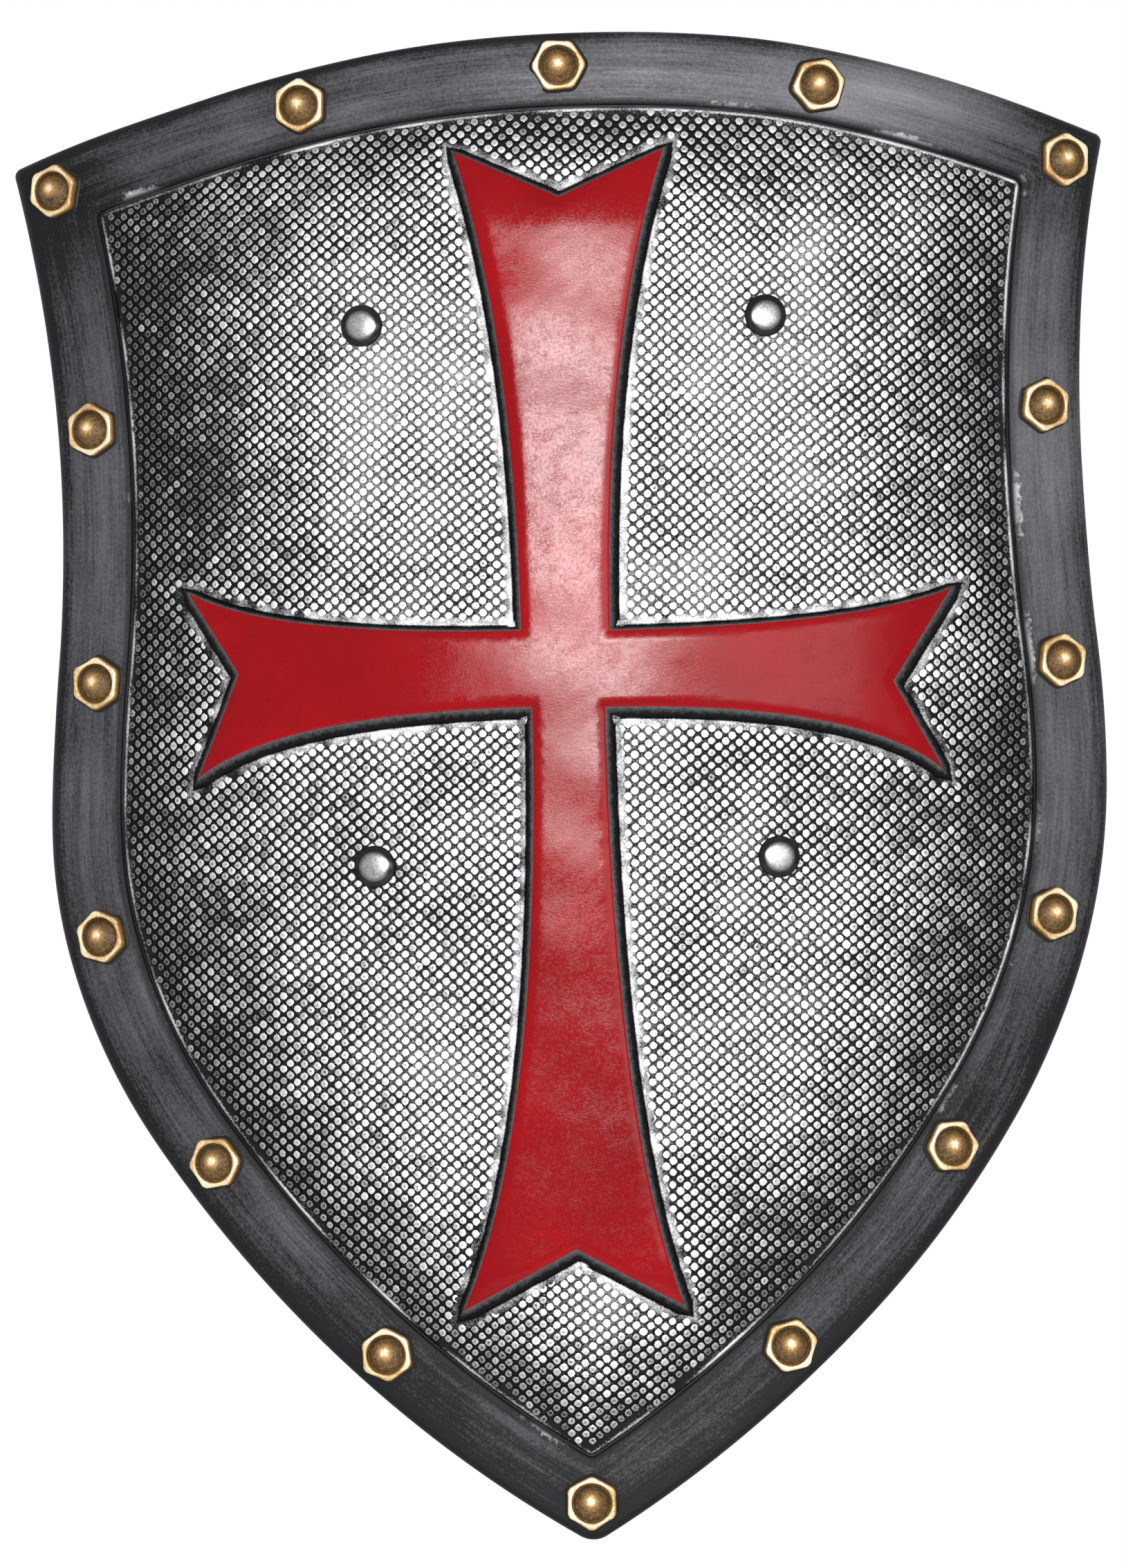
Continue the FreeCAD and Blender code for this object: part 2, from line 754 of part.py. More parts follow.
def point_cutter(end):
    """What is cut away beside the pointed end of the hole half."""
    low = end.z - cut_overrun
    high = end.z + billet_point
    wide = strap_half_width + cut_overrun
    depth = strap_thickness + 2 * cut_overrun
    y = end.y - cut_overrun
    pieces = []
    for side in (-1, 1):
        arc = Part.Arc(V(side * strap_half_width, y, high),
                       V(side * strap_half_width * math.sin(math.radians(45)), y,
                         high - billet_point * math.sin(math.radians(45))),
                       V(0, y, end.z)).toShape()
        rest = Part.makePolygon([V(0, y, end.z), V(0, y, low), V(side * wide, y, low),
                                 V(side * wide, y, high), V(side * strap_half_width, y, high)])
        face = Part.Face(Part.Wire(Part.__sortEdges__([arc] + rest.Edges)))
        pieces.append(face.extrude(V(0, depth, 0)))
    return pieces[0].fuse(pieces[1])


# Roller buckle, hanging from the fold

def cross_rod(radius, length, centre):
    """A cylinder along the local X axis, centred on a place."""
    return Part.makeCylinder(radius, length, centre - V(length / 2, 0, 0), V(1, 0, 0))


def buckle_frame():
    """Two arms joined by the bar in the fold and by the bar that carries the roller."""
    bar = chape_layout()[2]
    front = bar - V(0, 0, buckle_reach)
    span = opening_width + 2 * buckle_arm_width
    frame = cross_rod(bar_radius, span, bar).fuse(cross_rod(roller_bar_diameter / 2, span, front))
    for side in (-1, 1):
        middle = V(side * (opening_width + buckle_arm_width) / 2, 0, 0)
        arm = cross_rod(buckle_arm_thickness / 2, buckle_arm_width, bar + middle)
        arm = arm.fuse(cross_rod(buckle_arm_thickness / 2, buckle_arm_width, front + middle))
        plate = Part.makeBox(buckle_arm_width, buckle_arm_thickness, buckle_reach,
                             front + middle - V(buckle_arm_width / 2, buckle_arm_thickness / 2, 0))
        frame = frame.fuse(arm.fuse(plate).removeSplitter())
    return frame.removeSplitter()


def buckle_roller():
    """The tube that turns on the buckle's outer bar."""
    front = chape_layout()[2] - V(0, 0, buckle_reach)
    length = opening_width - 2 * roller_end_gap
    bore = roller_bar_diameter / 2 + pivot_clearance
    tube = cross_rod(roller_diameter / 2, length, front)
    return tube.cut(cross_rod(bore, length + 2 * cut_overrun, front))


def buckle_prong():
    """The prong: a ring round the bar and a shank that rests on the roller."""
    bar = chape_layout()[2]
    bore = bar_radius + pivot_clearance
    ring_radius = bore + prong_ring_wall
    shank_radius = prong_diameter / 2
    rest = roller_diameter / 2 + shank_radius + prong_rest_gap
    start = bar + V(0, ring_radius - shank_radius, 0)
    end = bar + V(0, rest, -buckle_reach)
    along = end - start
    along.normalize()
    tip = end + along * prong_overhang
    shank = Part.makeCylinder(shank_radius, (tip - start).Length, start, along)
    ball = Part.makeSphere(shank_radius, tip)
    ring = cross_rod(ring_radius, prong_ring_width, bar)
    solid = ring.fuse([shank, ball]).removeSplitter()
    return solid.cut(cross_rod(bore, prong_ring_width + 2 * cut_overrun, bar))


# Binding posts

def cap_with_barrel():
    """A domed steel cap with a hollow barrel, standing on y = 0 with the dome to the front."""
    radius = cap_diameter / 2
    ball = dome(radius, cap_dome_height, -cap_shoulder_height)
    head = rod(radius, -cap_shoulder_height, cap_shoulder_height).fuse(ball).removeSplitter()
    shoulder_edges = [edge for edge in head.Edges
                      if abs(edge.BoundBox.YMax + cap_shoulder_height) < glue_gap
                      and edge.BoundBox.ZLength > radius]
    head = head.makeFillet(cap_edge_round, shoulder_edges)
    length = cap_seat_radius - back_radius + strap_thickness
    barrel = rod(post_barrel_diameter / 2, 0, length)
    bore = rod(post_thread_diameter / 2, length - screw_length, screw_length + cut_overrun)
    return head.fuse(barrel).cut(bore)


def washer_ring():
    """The washer on the strap, standing on y = 0."""
    outside = rod(washer_diameter / 2, 0, washer_thickness)
    hole_radius = post_thread_diameter / 2 + post_hole_clearance
    return outside.cut(rod(hole_radius, -cut_overrun, washer_thickness + 2 * cut_overrun))


def post_screw():
    """The slotted screw that closes a post from the back, with its head on y = 0."""
    head = dome(screw_head_diameter / 2, screw_head_height, 0).mirror(V(0, 0, 0), V(0, 1, 0))
    shank = rod(post_thread_diameter / 2 - post_thread_clearance, post_hole_clearance - screw_length,
                screw_length - post_hole_clearance)
    slot = Part.makeBox(
        screw_head_diameter + 2 * cut_overrun,
        screw_slot_depth + cut_overrun,
        screw_slot_width,
        V(-screw_head_diameter / 2 - cut_overrun, screw_head_height - screw_slot_depth,
          -screw_slot_width / 2))
    return head.cut(slot).fuse(shank)


def post_places():
    """The four posts as angle round the curve and height: upper pair first."""
    return [(side * post_angle, rise * post_half_rise) for rise in (1, -1) for side in (-1, 1)]


def drill_posts(shape):
    """Drills the four post holes through a layer."""
    radius = post_barrel_diameter / 2 + post_hole_clearance
    depth = field_radius - back_radius + 2 * cut_overrun
    for degrees, height in post_places():
        hole = on_curve(rod(radius, -cut_overrun, depth), field_radius, degrees, height)
        shape = shape.cut(hole)
    return shape


def build():
    whole = outline_prism(0, corner_round, tip_round)
    core_prism = outline_prism(core_inset, corner_round, tip_round)
    rim_hole = outline_prism(core_inset - core_clearance, corner_round, tip_round)
    field_hole = outline_prism(border_width, corner_round, corner_round)
    field_prism = outline_prism(field_inset, corner_round, corner_round)

    back = layer(whole, back_radius, core_radius)
    back = back.makeFillet(back_edge_round, rim_edges(back, back_radius, -glue_gap, border_width / 2))
    save(drill_posts(back), "back_foam")
    save(drill_posts(layer(core_prism, core_radius, front_foam_radius)), "core_sheet")
    save(layer(whole.cut(rim_hole), core_radius, front_foam_radius), "rim_foam")
    save(drill_posts(layer(whole, front_foam_radius, border_radius)), "front_foam")

    band = layer(whole.cut(field_hole), border_radius, stud_radius)
    band = band.makeFillet(border_edge_round, rim_edges(band, stud_radius, -glue_gap, border_width / 2))
    inner = rim_edges(band, stud_radius, border_width / 2 + border_edge_round, half_width)
    save(band.makeChamfer(border_inner_bevel, inner), "border_band")

    surface = field_surface()
    skin = surface.extrude(V(0, field_skin_thickness, 0)).common(field_prism)
    save(drill_posts(skin), "field_skin")
    under = surface.copy()
    under.translate(V(0, field_skin_thickness + glue_gap, 0))
    pad = under.extrude(V(0, slab_depth / 2, 0)).common(field_prism).cut(drum(border_radius))
    save(drill_posts(pad), "field_pad")
    over = surface.copy()
    over.translate(V(0, -glue_gap, 0))
    cross = over.extrude(V(0, -cross_height, 0)).common(cross_prism())
    save(cross, "cross")

    for number, (x, height, turn) in enumerate(stud_places()):
        degrees = math.degrees(math.asin(x / stud_radius))
        stud = on_curve(hex_stud(turn), stud_radius, degrees, height)
        save(stud, "stud_%02d" % (number + 1))

    for number, (degrees, height) in enumerate(post_places()):
        washer_radius = back_radius - strap_seat_gap - strap_thickness
        save(on_curve(cap_with_barrel(), cap_seat_radius, degrees, height), "post_cap_%d" % (number + 1))
        save(on_curve(washer_ring(), washer_radius, degrees, height), "post_washer_%d" % (number + 1))
        head_radius = washer_radius - washer_thickness
        save(on_curve(post_screw(), head_radius, degrees, height), "post_screw_%d" % (number + 1))

    grip_pieces = {"hand_grip_strap": hand_grip_strap(), "hand_grip_sleeve": hand_grip_sleeve()}
    for name, shape in grip_pieces.items():
        save(on_curve(shape, back_radius, -post_angle, 0), name)
    forearm_pieces = {
        "forearm_strap_buckle_half": forearm_chape(),
        "forearm_strap_hole_half": forearm_billet(),
        "strap_keeper": keeper_loop(),
        "fold_rivets": fold_rivets(),
        "buckle_frame": buckle_frame(),
        "buckle_roller": buckle_roller(),
        "buckle_prong": buckle_prong(),
    }
    for name, shape in forearm_pieces.items():
        save(on_curve(shape, back_radius, post_angle, 0), name)

    bar = chape_layout()[2]
    pin = on_curve(Part.Vertex(bar), back_radius, post_angle, 0).Point
    front = on_curve(Part.Vertex(bar - V(0, 0, buckle_reach)), back_radius, post_angle, 0).Point
    print("buckle bar", [round(value, 4) for value in pin], "roller", [round(value, 4) for value in front],
          "angle", round(post_angle, 5))


build()
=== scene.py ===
import math
import bpy
import numpy as np
from mathutils import Matrix, Vector
from mathutils.geometry import delaunay_2d_cdt


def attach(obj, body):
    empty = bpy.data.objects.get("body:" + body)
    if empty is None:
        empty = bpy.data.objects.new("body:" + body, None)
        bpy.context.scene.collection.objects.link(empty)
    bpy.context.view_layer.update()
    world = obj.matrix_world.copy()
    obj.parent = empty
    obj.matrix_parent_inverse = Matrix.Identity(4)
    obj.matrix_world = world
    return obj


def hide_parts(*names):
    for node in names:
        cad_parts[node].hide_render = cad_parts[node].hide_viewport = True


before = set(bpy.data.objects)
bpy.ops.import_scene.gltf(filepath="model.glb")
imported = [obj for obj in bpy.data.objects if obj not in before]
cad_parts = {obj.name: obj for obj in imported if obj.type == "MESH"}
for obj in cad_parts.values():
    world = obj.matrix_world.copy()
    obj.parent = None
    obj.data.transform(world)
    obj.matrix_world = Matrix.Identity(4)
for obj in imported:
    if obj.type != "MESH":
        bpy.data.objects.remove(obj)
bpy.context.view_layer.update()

# Shapes are worked out in millimetres: x across, z up, h out of the back face to the front.
millimetre = 0.001
fullTurn = 2 * math.pi

shield = {
    "height": 700.0, "width": 512.0, "peak": 258.0, "cornerDrop": 49.0, "backRadius": 520.0,
    "bulge": (0.972, 0.501), "waist": (0.955, 0.404), "knee": (0.786, 0.728),
    "cornerRound": 4.0, "tipRound": 12.0, "core": 6.0, "front": 10.0, "band": 20.0, "studs": 25.0,
    "step": 3.5, "roundSteps": 8,
    "leftDrift": ((-410, 0), (-220, 1), (-140, 1), (-80, -2), (-40, -3), (0, -1.5), (120, 2), (200, 3)),
    "rightDrift": ((-410, -1.5), (-330, 4.5), (-230, -2.2), (-50, 1.5), (30, 3.5), (150, -0.5), (200, -1)),
    "topDrift": ((-240, -2), (-180, -3.3), (-70, 0.5), (10, 1.7), (100, 4), (160, 2.8), (230, 1.3)),
    "sideSmooth": 12, "topSmooth": 8,
    "lift": {"begins": 38, "least": 12, "most": 70, "growth": 1.2, "middle": 55},
}
posts = {"across": 187.0, "up": 251.0, "seatRadius": 555.05, "hole": 3.3}
field = {"inset": 35.0, "edgeHeight": 2.5, "rise": 12.5, "shoulder": 55.0, "spill": 0.6, "grid": 5.0,
         "lip": ((0.0, -0.9), (0.25, 0.35), (0.9, 0.7), (1.5, 0.6), (2.1, 0.0)), "glue": 0.02}
postAngle = math.asin(posts["across"] / 2 / posts["seatRadius"])


def ramp(given, low, high):
    # 0 at low, 1 at high, straight between and level beyond
    return np.clip((given - low) / (high - low), 0, 1)


def unit(rows):
    # each row divided by its length
    return rows / np.linalg.norm(rows, axis=1)[:, None]


def tangentArc(start, tangent, end):
    # centre = start + normal * chord^2 / (2 chord.normal): the circle that leaves start along tangent
    normal = np.array([-tangent[1], tangent[0]])
    chord = end - start
    reach = chord @ chord / (2 * chord @ normal)
    centre = start + normal * reach
    arm = (end - centre) / reach
    leaving = np.array([-arm[1], arm[0]])
    return centre, abs(reach), leaving * np.sign(leaving @ chord)


def sideArcs():
    # the right side from corner to tip: start, end, centre, radius, and +1 where it bulges
    half, peak, tall = shield["width"] / 2, shield["peak"], shield["height"]
    waist, bulge, knee = (np.array([half * shield[name][0], peak - tall * shield[name][1]])
                          for name in ("waist", "bulge", "knee"))
    corner = np.array([half, peak - shield["cornerDrop"]])
    tip = np.array([0.0, peak - tall])
    upCentre, upRadius, upWay = tangentArc(bulge, np.array([0.0, 1.0]), waist)
    topCentre, topRadius, topWay = tangentArc(waist, upWay, corner)
    downCentre, downRadius, downWay = tangentArc(bulge, np.array([0.0, -1.0]), knee)
    tipCentre, tipRadius, tipWay = tangentArc(knee, downWay, tip)
    return [(corner, waist, topCentre, topRadius, -1), (waist, bulge, upCentre, upRadius, 1),
            (bulge, knee, downCentre, downRadius, 1), (knee, tip, tipCentre, tipRadius, 1)]


arcs = sideArcs()
topRadius = ((shield["width"] / 2) ** 2 + shield["cornerDrop"] ** 2) / (2 * shield["cornerDrop"])
topCentre = np.array([0.0, shield["peak"] - topRadius])


def insetCorner(inset):
    # the crossing of the top circle and the first side circle, both moved in
    corner, end, centre, radius, bulges = arcs[0]
    first, second = topRadius - inset, radius - bulges * inset
    line = centre - topCentre
    gap = np.linalg.norm(line)
    along = (gap ** 2 + first ** 2 - second ** 2) / (2 * gap)
    aside = math.sqrt(first ** 2 - along ** 2)
    towards = line / gap
    foot = topCentre + towards * along
    normal = np.array([-towards[1], towards[0]])
    spots = foot + normal * aside, foot - normal * aside
    return min(spots, key=lambda spot: np.linalg.norm(spot - corner))


def insetTip(inset):
    # where the last side circle, moved in, crosses the middle: z = centre z - sqrt(r^2 - centre x^2)
    start, end, centre, radius, bulges = arcs[-1]
    return np.array([0.0, centre[1] - math.sqrt((radius - inset) ** 2 - centre[0] ** 2)])


def pushed(centre, radius, towards):
    # the point of a circle in line with another point
    away = towards - centre
    return centre + away / np.linalg.norm(away) * radius


def arcPoints(centre, start, end, count):
    # centre + r (cos a, sin a), a from start to just before end the short way round
    first = math.atan2(*(start - centre)[::-1])
    turn = (math.atan2(*(end - centre)[::-1]) - first + math.pi) % fullTurn - math.pi
    angle = first + turn * np.arange(count) / count
    return centre + np.linalg.norm(start - centre) * np.column_stack([np.cos(angle), np.sin(angle)])


def outlineLoop(inset, cornerRound, tipRound):
    # the outline moved in: from the tip up the right side, over the top and down the left
    tipSeat, cornerSeat = insetTip(inset + tipRound), insetCorner(inset + cornerRound)
    low, high, step = arcs[-1], arcs[0], shield["step"]
    tipEnd = pushed(low[2], low[3] - low[4] * inset, tipSeat)
    sideEnd = pushed(high[2], high[3] - high[4] * inset, cornerSeat)
    topEnd = pushed(topCentre, topRadius - inset, cornerSeat)
    parts = [arcPoints(tipSeat, tipSeat - np.array([0.0, tipRound]), tipEnd, shield["roundSteps"])]
    for number, (start, end, centre, radius, bulges) in reversed(list(enumerate(arcs))):
        first = tipEnd if number == len(arcs) - 1 else pushed(centre, radius - bulges * inset, end)
        last = sideEnd if number == 0 else pushed(centre, radius - bulges * inset, start)
        parts.append(arcPoints(centre, first, last, int(np.linalg.norm(end - start) / step)))
    parts.append(arcPoints(cornerSeat, sideEnd, topEnd, shield["roundSteps"]))
    peak = topCentre + np.array([0.0, topRadius - inset])
    parts.append(arcPoints(topCentre, topEnd, peak, int(shield["width"] / 2 / step)))
    right = np.concatenate(parts)
    left = right[1:][::-1] * np.array([-1.0, 1.0])
    return np.concatenate([right, peak[None], left])


def sideDistance(x, z):
    # how far a point lies inside the right side, by the circle of the arc beside it
    side = np.zeros(np.shape(x))
    for start, end, centre, radius, bulges in reversed(arcs):
        inside = bulges * (radius - np.hypot(x - centre[0], z - centre[1]))
        away = (end - centre) * bulges
        above = (x - end[0]) * away[1] - (z - end[1]) * away[0] < 0
        side = np.where(above | (end[0] == 0), inside, side)
    return side


def edgeDistances(x, z):
    # how far a point lies inside the top edge, the left side and the right side
    return topRadius - np.hypot(x - topCentre[0], z - topCentre[1]), sideDistance(-x, z), sideDistance(x, z)


def borderDistance(x, z):
    # the least of the three distances
    return np.minimum.reduce(edgeDistances(x, z))


def shoulder(distance):
    # 1 - (1 - t)^2 over the shoulder's width, then level
    share = np.clip((distance - field["inset"]) / field["shoulder"], -field["spill"], 1)
    return 1 - (1 - share) ** 2


def fieldHeight(x, z):
    # edge height + rise * s(top) * s(left) * s(right), over the front foam
    top, left, right = (shoulder(distance) for distance in edgeDistances(x, z))
    return shield["band"] + field["edgeHeight"] + field["rise"] * top * left * right


def wandering(name, place, step):
    # a drift list read between its points, averaged over five places that lie a step apart
    places, sizes = np.array(shield[name]).T
    return sum(np.interp(place + step * k, places, sizes) for k in (-2, -1, 0, 1, 2)) / 5


def drifted(x, z):
    # the outline made by hand: each side wanders in and out, fading as (x / half width)^2
    left, right = (wandering(name, z, shield["sideSmooth"]) for name in ("leftDrift", "rightDrift"))
    return x + np.where(x > 0, right, -left) * (x / (shield["width"] / 2)) ** 2


def lifted(x, z):
    # the top edge made by hand: the band wanders up and down, and the field's first rows take it up
    lift = shield["lift"]
    deep = topRadius - np.hypot(x - topCentre[0], z - topCentre[1])
    reach = lift["least"] + lift["growth"] * (np.abs(x) - lift["middle"])
    share = 1 - (deep - lift["begins"]) / np.clip(reach, lift["least"], lift["most"])
    return wandering("topDrift", x, shield["topSmooth"]) * np.clip(share, 0, 1)


def curved(x, z, h):
    # y = R - sqrt((R + h)^2 - x^2)
    x, z = np.asarray(x, float), np.asarray(z, float)
    up = z + lifted(x, z)
    x = drifted(x, z)
    radius = shield["backRadius"] + h
    return np.stack([x, shield["backRadius"] - np.sqrt(radius ** 2 - x ** 2), up + 0 * x], -1)


def ripple(x, z, size, seed, waves=7):
    # a sum of sine waves of about one size in chance directions, near -1 to 1
    roll = np.random.default_rng(seed)
    total = np.zeros(np.broadcast(x, z).shape)
    for wave in range(waves):
        way, phase = roll.uniform(0, fullTurn, 2)
        pitch = fullTurn / (size * roll.uniform(0.7, 1.5))
        total = total + np.sin(pitch * (x * math.cos(way) + z * math.sin(way)) + phase)
    return total / math.sqrt(waves)


def clouded(x, z, spots):
    # the sum of amount * exp(-(dx / w)^2 / 2 - (dz / t)^2 / 2) over the spots
    total = np.zeros(np.broadcast(x, z).shape)
    for px, pz, wide, tall, amount in spots:
        total = total + amount * np.exp(-((x - px) / wide) ** 2 / 2 - ((z - pz) / tall) ** 2 / 2)
    return total


def inLoops(points, loops):
    # even-odd count of the edges that a ray to the right crosses
    inside = np.zeros(len(points), bool)
    for loop in loops:
        a, b = loop, np.roll(loop, -1, 0)
        for part in np.array_split(np.arange(len(points)), max(1, len(points) // 4000)):
            px, pz = points[part, 0:1], points[part, 1:2]
            spans = (a[:, 1] > pz) != (b[:, 1] > pz)
            rise = np.where(b[:, 1] == a[:, 1], 1, b[:, 1] - a[:, 1])
            crossing = a[:, 0] + (b[:, 0] - a[:, 0]) * (pz - a[:, 1]) / rise
            inside[part] ^= (spans & (px < crossing)).sum(1) % 2 == 1
    return inside


def toNearest(points, others):
    # distance from each point to the nearest of the others
    return np.concatenate([
        np.sqrt(((points[part, None] - others[None]) ** 2).sum(-1).min(1))
        for part in np.array_split(np.arange(len(points)), max(1, len(points) // 2000))])


def staggered(loop, spacing):
    # rows of points over a loop's box, every other row moved half a step
    low, high = loop.min(0), loop.max(0)
    rows = np.arange(low[1], high[1], spacing * 0.87)
    x, z = np.meshgrid(np.arange(low[0], high[0], spacing), rows)
    x = x + np.where(np.arange(len(rows)) % 2, spacing / 2, 0)[:, None]
    return np.column_stack([x.ravel(), z.ravel()])


def fillLoops(loops, grid, clear):
    # the grid's points inside the loops and clear of them, joined to them by triangles
    every = np.concatenate(loops)
    grid = grid[inLoops(grid, loops)]
    grid = grid[toNearest(grid, every) > clear] if len(grid) else grid
    points = np.concatenate([every, grid])
    edges, begin = [], 0
    for loop in loops:
        ids = np.arange(len(loop)) + begin
        edges.append(np.column_stack([ids, np.roll(ids, -1)]))
        begin += len(loop)
    made = delaunay_2d_cdt(points.tolist(), np.concatenate(edges).tolist(), [], 0, 1e-7)
    source = np.array([ids[0] for ids in made[3]])
    triangles = source[np.array(made[2])]
    return grid, triangles[inLoops(points[triangles].mean(1), loops)]


def plate(contours, topHeight, bottomHeight, spacing=None, grid=None, clear=None):
    # rings from the bottom edge to the top edge joined by walls, and both faces filled
    if grid is None:
        grid, clear = staggered(contours[0][-1][0], spacing), spacing * 0.6
    points, faces, rings, count = [], [], [], 0
    for contour in contours:
        ids = []
        for loop, height in contour:
            points.append(np.column_stack([loop, np.broadcast_to(height, len(loop))]))
            ids.append(np.arange(len(loop)) + count)
            count += len(loop)
        rings.append(ids)
        faces += [np.stack([low, np.roll(low, -1), np.roll(high, -1), high], 1)
                  for low, high in zip(ids[:-1], ids[1:])]
    inner, triangles = fillLoops([contour[-1][0] for contour in contours], grid, clear)
    for end, height, flip in ((-1, topHeight, False), (0, bottomHeight, True)):
        level = height(inner[:, 0], inner[:, 1]) if callable(height) else height
        points.append(np.column_stack([inner, np.broadcast_to(level, len(inner))]))
        ids = np.concatenate([ring[end] for ring in rings] + [np.arange(len(inner)) + count])
        count += len(inner)
        faces.append(ids[triangles][:, ::-1] if flip else ids[triangles])
    return np.concatenate(points), faces


def wrapGrid(rows, columns, closed=True):
    # quads of a grid that closes round its rows, with each corner's row and column before wrapping
    i, j = np.meshgrid(np.arange(rows), np.arange(columns if closed else columns - 1), indexing="ij")
    i, j = i.ravel(), j.ravel()
    row = np.stack([i, i + 1, i + 1, i], 1)
    column = np.stack([j, j, j + 1, j + 1], 1)
    return (row % rows) * columns + column % columns, row, column


def tubeFaces(around, rings):
    # quads between one ring and the next, where each ring has as many points as the last
    ids = np.arange(around)
    after = np.roll(ids, -1)
    first = np.stack([ids, after, after + around, ids + around], 1)
    return np.concatenate([first + around * k for k in range(rings - 1)])


def linked(name, shape):
    # a new object in the scene
    made = bpy.data.objects.new(name, shape)
    bpy.context.scene.collection.objects.link(made)
    return made


def makePiece(name, points, faces, materials, body="shield", replaced=(), faceMaterial=None,
              values=None, uv=None, sharp=None):
    # a mesh in metres from points and blocks of faces, with values carried by its points
    mesh = bpy.data.meshes.new(name)
    sizes = np.concatenate([np.full(len(block), block.shape[1]) for block in faces])
    corners = np.concatenate([np.asarray(block).ravel() for block in faces])
    mesh.vertices.add(len(points))
    mesh.vertices.foreach_set("co", (np.asarray(points) * millimetre).astype(np.float32).ravel())
    mesh.loops.add(len(corners))
    mesh.loops.foreach_set("vertex_index", corners.astype(np.int32))
    mesh.polygons.add(len(sizes))
    mesh.polygons.foreach_set("loop_start", np.concatenate([[0], np.cumsum(sizes)[:-1]]).astype(np.int32))
    if faceMaterial is not None:
        mesh.polygons.foreach_set("material_index", np.asarray(faceMaterial, np.int32))
    mesh.update(calc_edges=True)
    mesh.polygons.foreach_set("use_smooth", np.ones(len(sizes), bool))
    for key, numbers in (values or {}).items():
        layer = mesh.attributes.new(key, "FLOAT", "POINT")
        layer.data.foreach_set("value", np.asarray(numbers, np.float32))
    if uv is not None:
        mesh.uv_layers.new(name="UVMap").data.foreach_set("uv", np.asarray(uv, np.float32).ravel())
    if sharp:
        mesh.set_sharp_from_angle(angle=math.radians(sharp))
    for material in materials:
        mesh.materials.append(material)
    piece = linked(name, mesh)
    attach(piece, body)
    if replaced:
        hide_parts(*replaced)
    return piece


# Materials

def added(tree, kind, inputs=None, output=0, **settings):
    # a new node with its settings and inputs, given back as the signal of one of its outputs
    node = tree.nodes.new(kind)
    for key, setting in settings.items():
        setattr(node, key, setting)
    for key, given in (inputs or {}).items():
        if isinstance(given, Signal):
            given.into(node.inputs[key])
        else:
            node.inputs[key].default_value = given
    return Signal(tree, node.outputs[output])


class Signal:
    # an output socket; each sum on it, and each of its methods, adds the next node
    def __init__(self, tree, socket):
        self.tree, self.socket = tree, socket

    def into(self, target):
        # linked to an input
        self.tree.links.new(self.socket, target)

    def maths(self, operation, other=0.0):
        # one operation on this signal and a number or another signal
        return added(self.tree, "ShaderNodeMath", {0: self, 1: other}, operation=operation)

    def vector(self, operation, other=(0, 0, 0), output="Vector"):
        # the same on three numbers at once
        return added(self.tree, "ShaderNodeVectorMath", {0: self, 1: other}, output, operation=operation)

    def __add__(self, other):
        return self.maths("ADD", other)

    def __sub__(self, other):
        return self.maths("SUBTRACT", other)

    def __mul__(self, other):
        return self.maths("MULTIPLY", other)

    def __pow__(self, other):
        return self.maths("POWER", other)

    def __abs__(self):
        return self.maths("ABSOLUTE")

    def level(self, low, high, toLow=0.0, toHigh=1.0):
        # low to high carried to toLow to toHigh, and held at both ends
        given = {"Value": self, "From Min": low, "From Max": high, "To Min": toLow, "To Max": toHigh}
        return added(self.tree, "ShaderNodeMapRange", given, "Result")

    def relief(self, strength, depth, under=None):
        # this signal as height of a bump, on top of another bump if there is one
        given = {"Height": self, "Strength": strength, "Distance": depth}
        if under:
            given["Normal"] = under
        return added(self.tree, "ShaderNodeBump", given, "Normal")


class Finish:
    # a material in the making: its methods add textures, and done links what they come to
    def __init__(self, name, **constants):
        self.material = bpy.data.materials.new(name)
        self.material.use_nodes = True
        self.tree = self.material.node_tree
        self.shader = self.tree.nodes["Principled BSDF"]
        for key, number in constants.items():
            self.shader.inputs[key.replace("_", " ")].default_value = number

    def spot(self, stretch=(1, 1, 1), source="Object"):
        # the place on the object, stretched by a factor along each axis
        place = added(self.tree, "ShaderNodeTexCoord", output=source)
        return added(self.tree, "ShaderNodeMapping", {"Vector": place, "Scale": stretch}, "Vector")

    def grain(self, scale, detail=4.0, roughness=0.55, distortion=0.0, stretch=(1, 1, 1), source="Object"):
        # noise between 0 and 1 with scale waves to the metre
        given = {"Vector": self.spot(stretch, source), "Scale": scale, "Detail": detail,
                 "Roughness": roughness, "Distortion": distortion}
        return added(self.tree, "ShaderNodeTexNoise", given, "Fac")

    def cells(self, spot, scale, feature):
        # distance within cells, with scale of them to the metre
        given = {"Vector": spot, "Scale": scale}
        return added(self.tree, "ShaderNodeTexVoronoi", given, "Distance", feature=feature)

    def carried(self, name):
        # a value that the mesh's points carry
        return added(self.tree, "ShaderNodeAttribute", output="Fac", attribute_name=name)

    def facing(self):
        # which way the surface looks
        return added(self.tree, "ShaderNodeNewGeometry", output="Normal")

    def mix(self, share, first, second):
        # the first colour where share is 0, the second where it is 1
        given = {0: share}
        for key, colour in ((6, first), (7, second)):
            given[key] = colour if isinstance(colour, Signal) else (*colour, 1.0)
        return added(self.tree, "ShaderNodeMix", given, 2, data_type="RGBA")

    def done(self, colour, roughness=None, metallic=None, normal=None):
        # what is given goes into the shader, and the rest keeps its constants
        for key, signal in (("Base Color", colour), ("Roughness", roughness), ("Metallic", metallic),
                            ("Normal", normal)):
            if signal:
                signal.into(self.shader.inputs[key])
        return self.material


blackPaint = (0.006, 0.0055, 0.0065)


